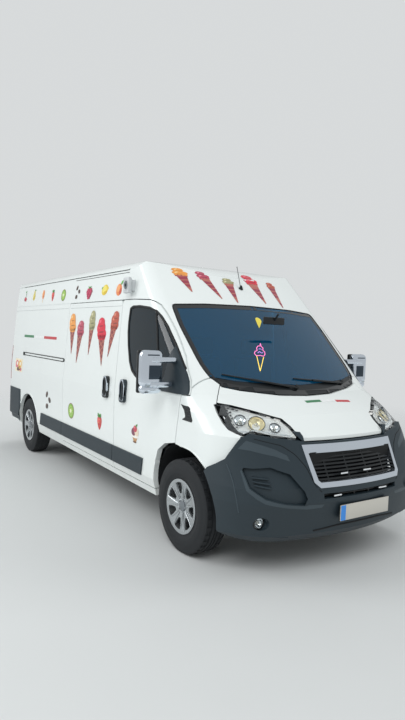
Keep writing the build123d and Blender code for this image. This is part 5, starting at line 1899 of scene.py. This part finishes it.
@dataclass
class Studio:
    """Camera, pale floor and soft lights."""

    # The photograph's height and the focal length in its pixels, and the sensor that stands for it
    photo_px: float = 720.0
    focal_px: float = 552.1
    sensor_mm: float = 36.0
    yaw: float = -213.725
    pitch: float = -2.602
    roll: float = 2.269
    eye: Spot = (5.633, -3.244, 1.697)
    floor_radius: float = 60.0
    fade: Flat = (3.6, 10.5)
    # Place, size in metres and watts of each soft light, and the one that shows in paint and chrome
    lamps: list[tuple[Spot, float, float]] = table(
        ((7.0, -6.5, 7.5), 5.0, 430.0), ((-3.0, -9.0, 6.0), 6.0, 420.0), ((6.0, 7.0, 6.0), 5.0, 260.0),
        ((-8.0, 4.0, 7.0), 6.0, 320.0))
    mirrored_lamp: int = 1
    aim: Spot = (0.0, 0.0, 1.2)
    # Strength of the room as it lights the van, and as it is seen
    room: Flat = (0.6, 0.8)

    def set_camera(self) -> None:
        """Aim the camera from where the photograph was taken."""
        yaw, pitch, roll = (math.radians(a) for a in (self.yaw, self.pitch, self.roll))
        ahead = Vector((math.cos(pitch) * math.cos(yaw), math.cos(pitch) * math.sin(yaw), math.sin(pitch)))
        right = ahead.cross(Vector((0, 0, 1))).normalized()
        up = right.cross(ahead)
        turned_right = math.cos(roll) * right + math.sin(roll) * up
        turned_up = -math.sin(roll) * right + math.cos(roll) * up
        data = bpy.data.cameras.new("photo_camera")
        data.sensor_fit = "AUTO"
        data.sensor_width = self.sensor_mm
        data.lens = self.focal_px / self.photo_px * self.sensor_mm
        data.clip_end = 300.0
        camera = bpy.data.objects.new("photo_camera", data)
        bpy.context.collection.objects.link(camera)
        turn = Matrix((turned_right, turned_up, -ahead)).transposed().to_4x4()
        camera.matrix_world = Matrix.Translation(self.eye) @ turn
        bpy.context.scene.camera = camera

    def lay_floor(self) -> None:
        """Lay a wide pale floor under the wheels."""
        bm = bmesh.new()
        bmesh.ops.create_circle(bm, cap_ends=True, segments=96, radius=self.floor_radius)
        mesh = bpy.data.meshes.new("studio_floor")
        bm.to_mesh(mesh)
        bm.free()
        floor = bpy.data.objects.new("studio_floor", mesh)
        bpy.context.collection.objects.link(floor)
        mesh.materials.append(self.faded(Finish("studio_floor_paint", "#cfd2d2", 0.8, tone_shift=0.01).made()))

    def faded(self, mat: Material) -> Material:
        """Let the floor thin out into the backdrop, away from the van.

        Args:
            mat: the floor's material.

        Returns:
            The same material.
        """
        place = add_node(mat, "TexCoord").outputs["Object"]
        reach = add_node(mat, "VectorMath", {"operation": "LENGTH"}, {0: place})
        share = add_node(mat, "MapRange",
                         {"From Min": self.fade[0], "From Max": self.fade[1], "interpolation_type": "SMOOTHSTEP"},
                         {"Value": reach.outputs["Value"]})
        paint = next(n for n in mat.node_tree.nodes if n.type == "BSDF_PRINCIPLED")
        output = next(n for n in mat.node_tree.nodes if n.type == "OUTPUT_MATERIAL")
        gone = add_node(mat, "BsdfTransparent")
        mixed = add_node(mat, "MixShader", None,
                         {0: share.outputs["Result"], 1: paint.outputs[0], 2: gone.outputs[0]})
        mat.node_tree.links.new(mixed.outputs[0], output.inputs["Surface"])
        return mat

    def light(self) -> None:
        """Hang the soft lights and fill the room with an even pale light."""
        for number, (place, size, watts) in enumerate(self.lamps):
            data = bpy.data.lights.new(f"soft_light_{number}", "AREA")
            data.size = size
            data.energy = watts
            lamp = bpy.data.objects.new(f"soft_light_{number}", data)
            bpy.context.collection.objects.link(lamp)
            lamp.visible_glossy = number == self.mirrored_lamp
            aim = (Vector(self.aim) - Vector(place)).to_track_quat("-Z", "Y")
            lamp.matrix_world = Matrix.Translation(place) @ aim.to_matrix().to_4x4()
        world = bpy.data.worlds.new("studio_room")
        bpy.context.scene.world = world
        world.use_nodes = True
        world.node_tree.nodes.clear()
        path = add_node(world, "LightPath")
        seen = add_node(world, "Math", {"operation": "MAXIMUM"},
                        {0: path.outputs["Is Camera Ray"], 1: path.outputs["Is Transmission Ray"]})
        strength = add_node(world, "MapRange", {"To Min": self.room[0], "To Max": self.room[1]},
                            {"Value": seen.outputs[0]})
        glow = add_node(world, "Background", {"Color": srgb("#eef1f2")},
                        {"Strength": strength.outputs["Result"]})
        add_node(world, "OutputWorld", None, {"Surface": glow.outputs[0]})

    def build(self) -> None:
        """Set up everything around the van."""
        self.set_camera()
        self.lay_floor()
        self.light()
        bpy.context.scene.view_settings.view_transform = "Standard"


def main() -> None:
    """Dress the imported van, piece by piece."""
    Studio().build()
    for finish, nodes in NODE_FINISH.items():
        for node in nodes:
            wear(node, finish)
    for assembly in (Wheels, Headlamps, Nose, Glazing, Wipers, Mirrors, Sides, RoofGear, Stickers, Rear, Cab,
                     Serving):
        assembly().build()


if __name__ == "__main__":
    main()
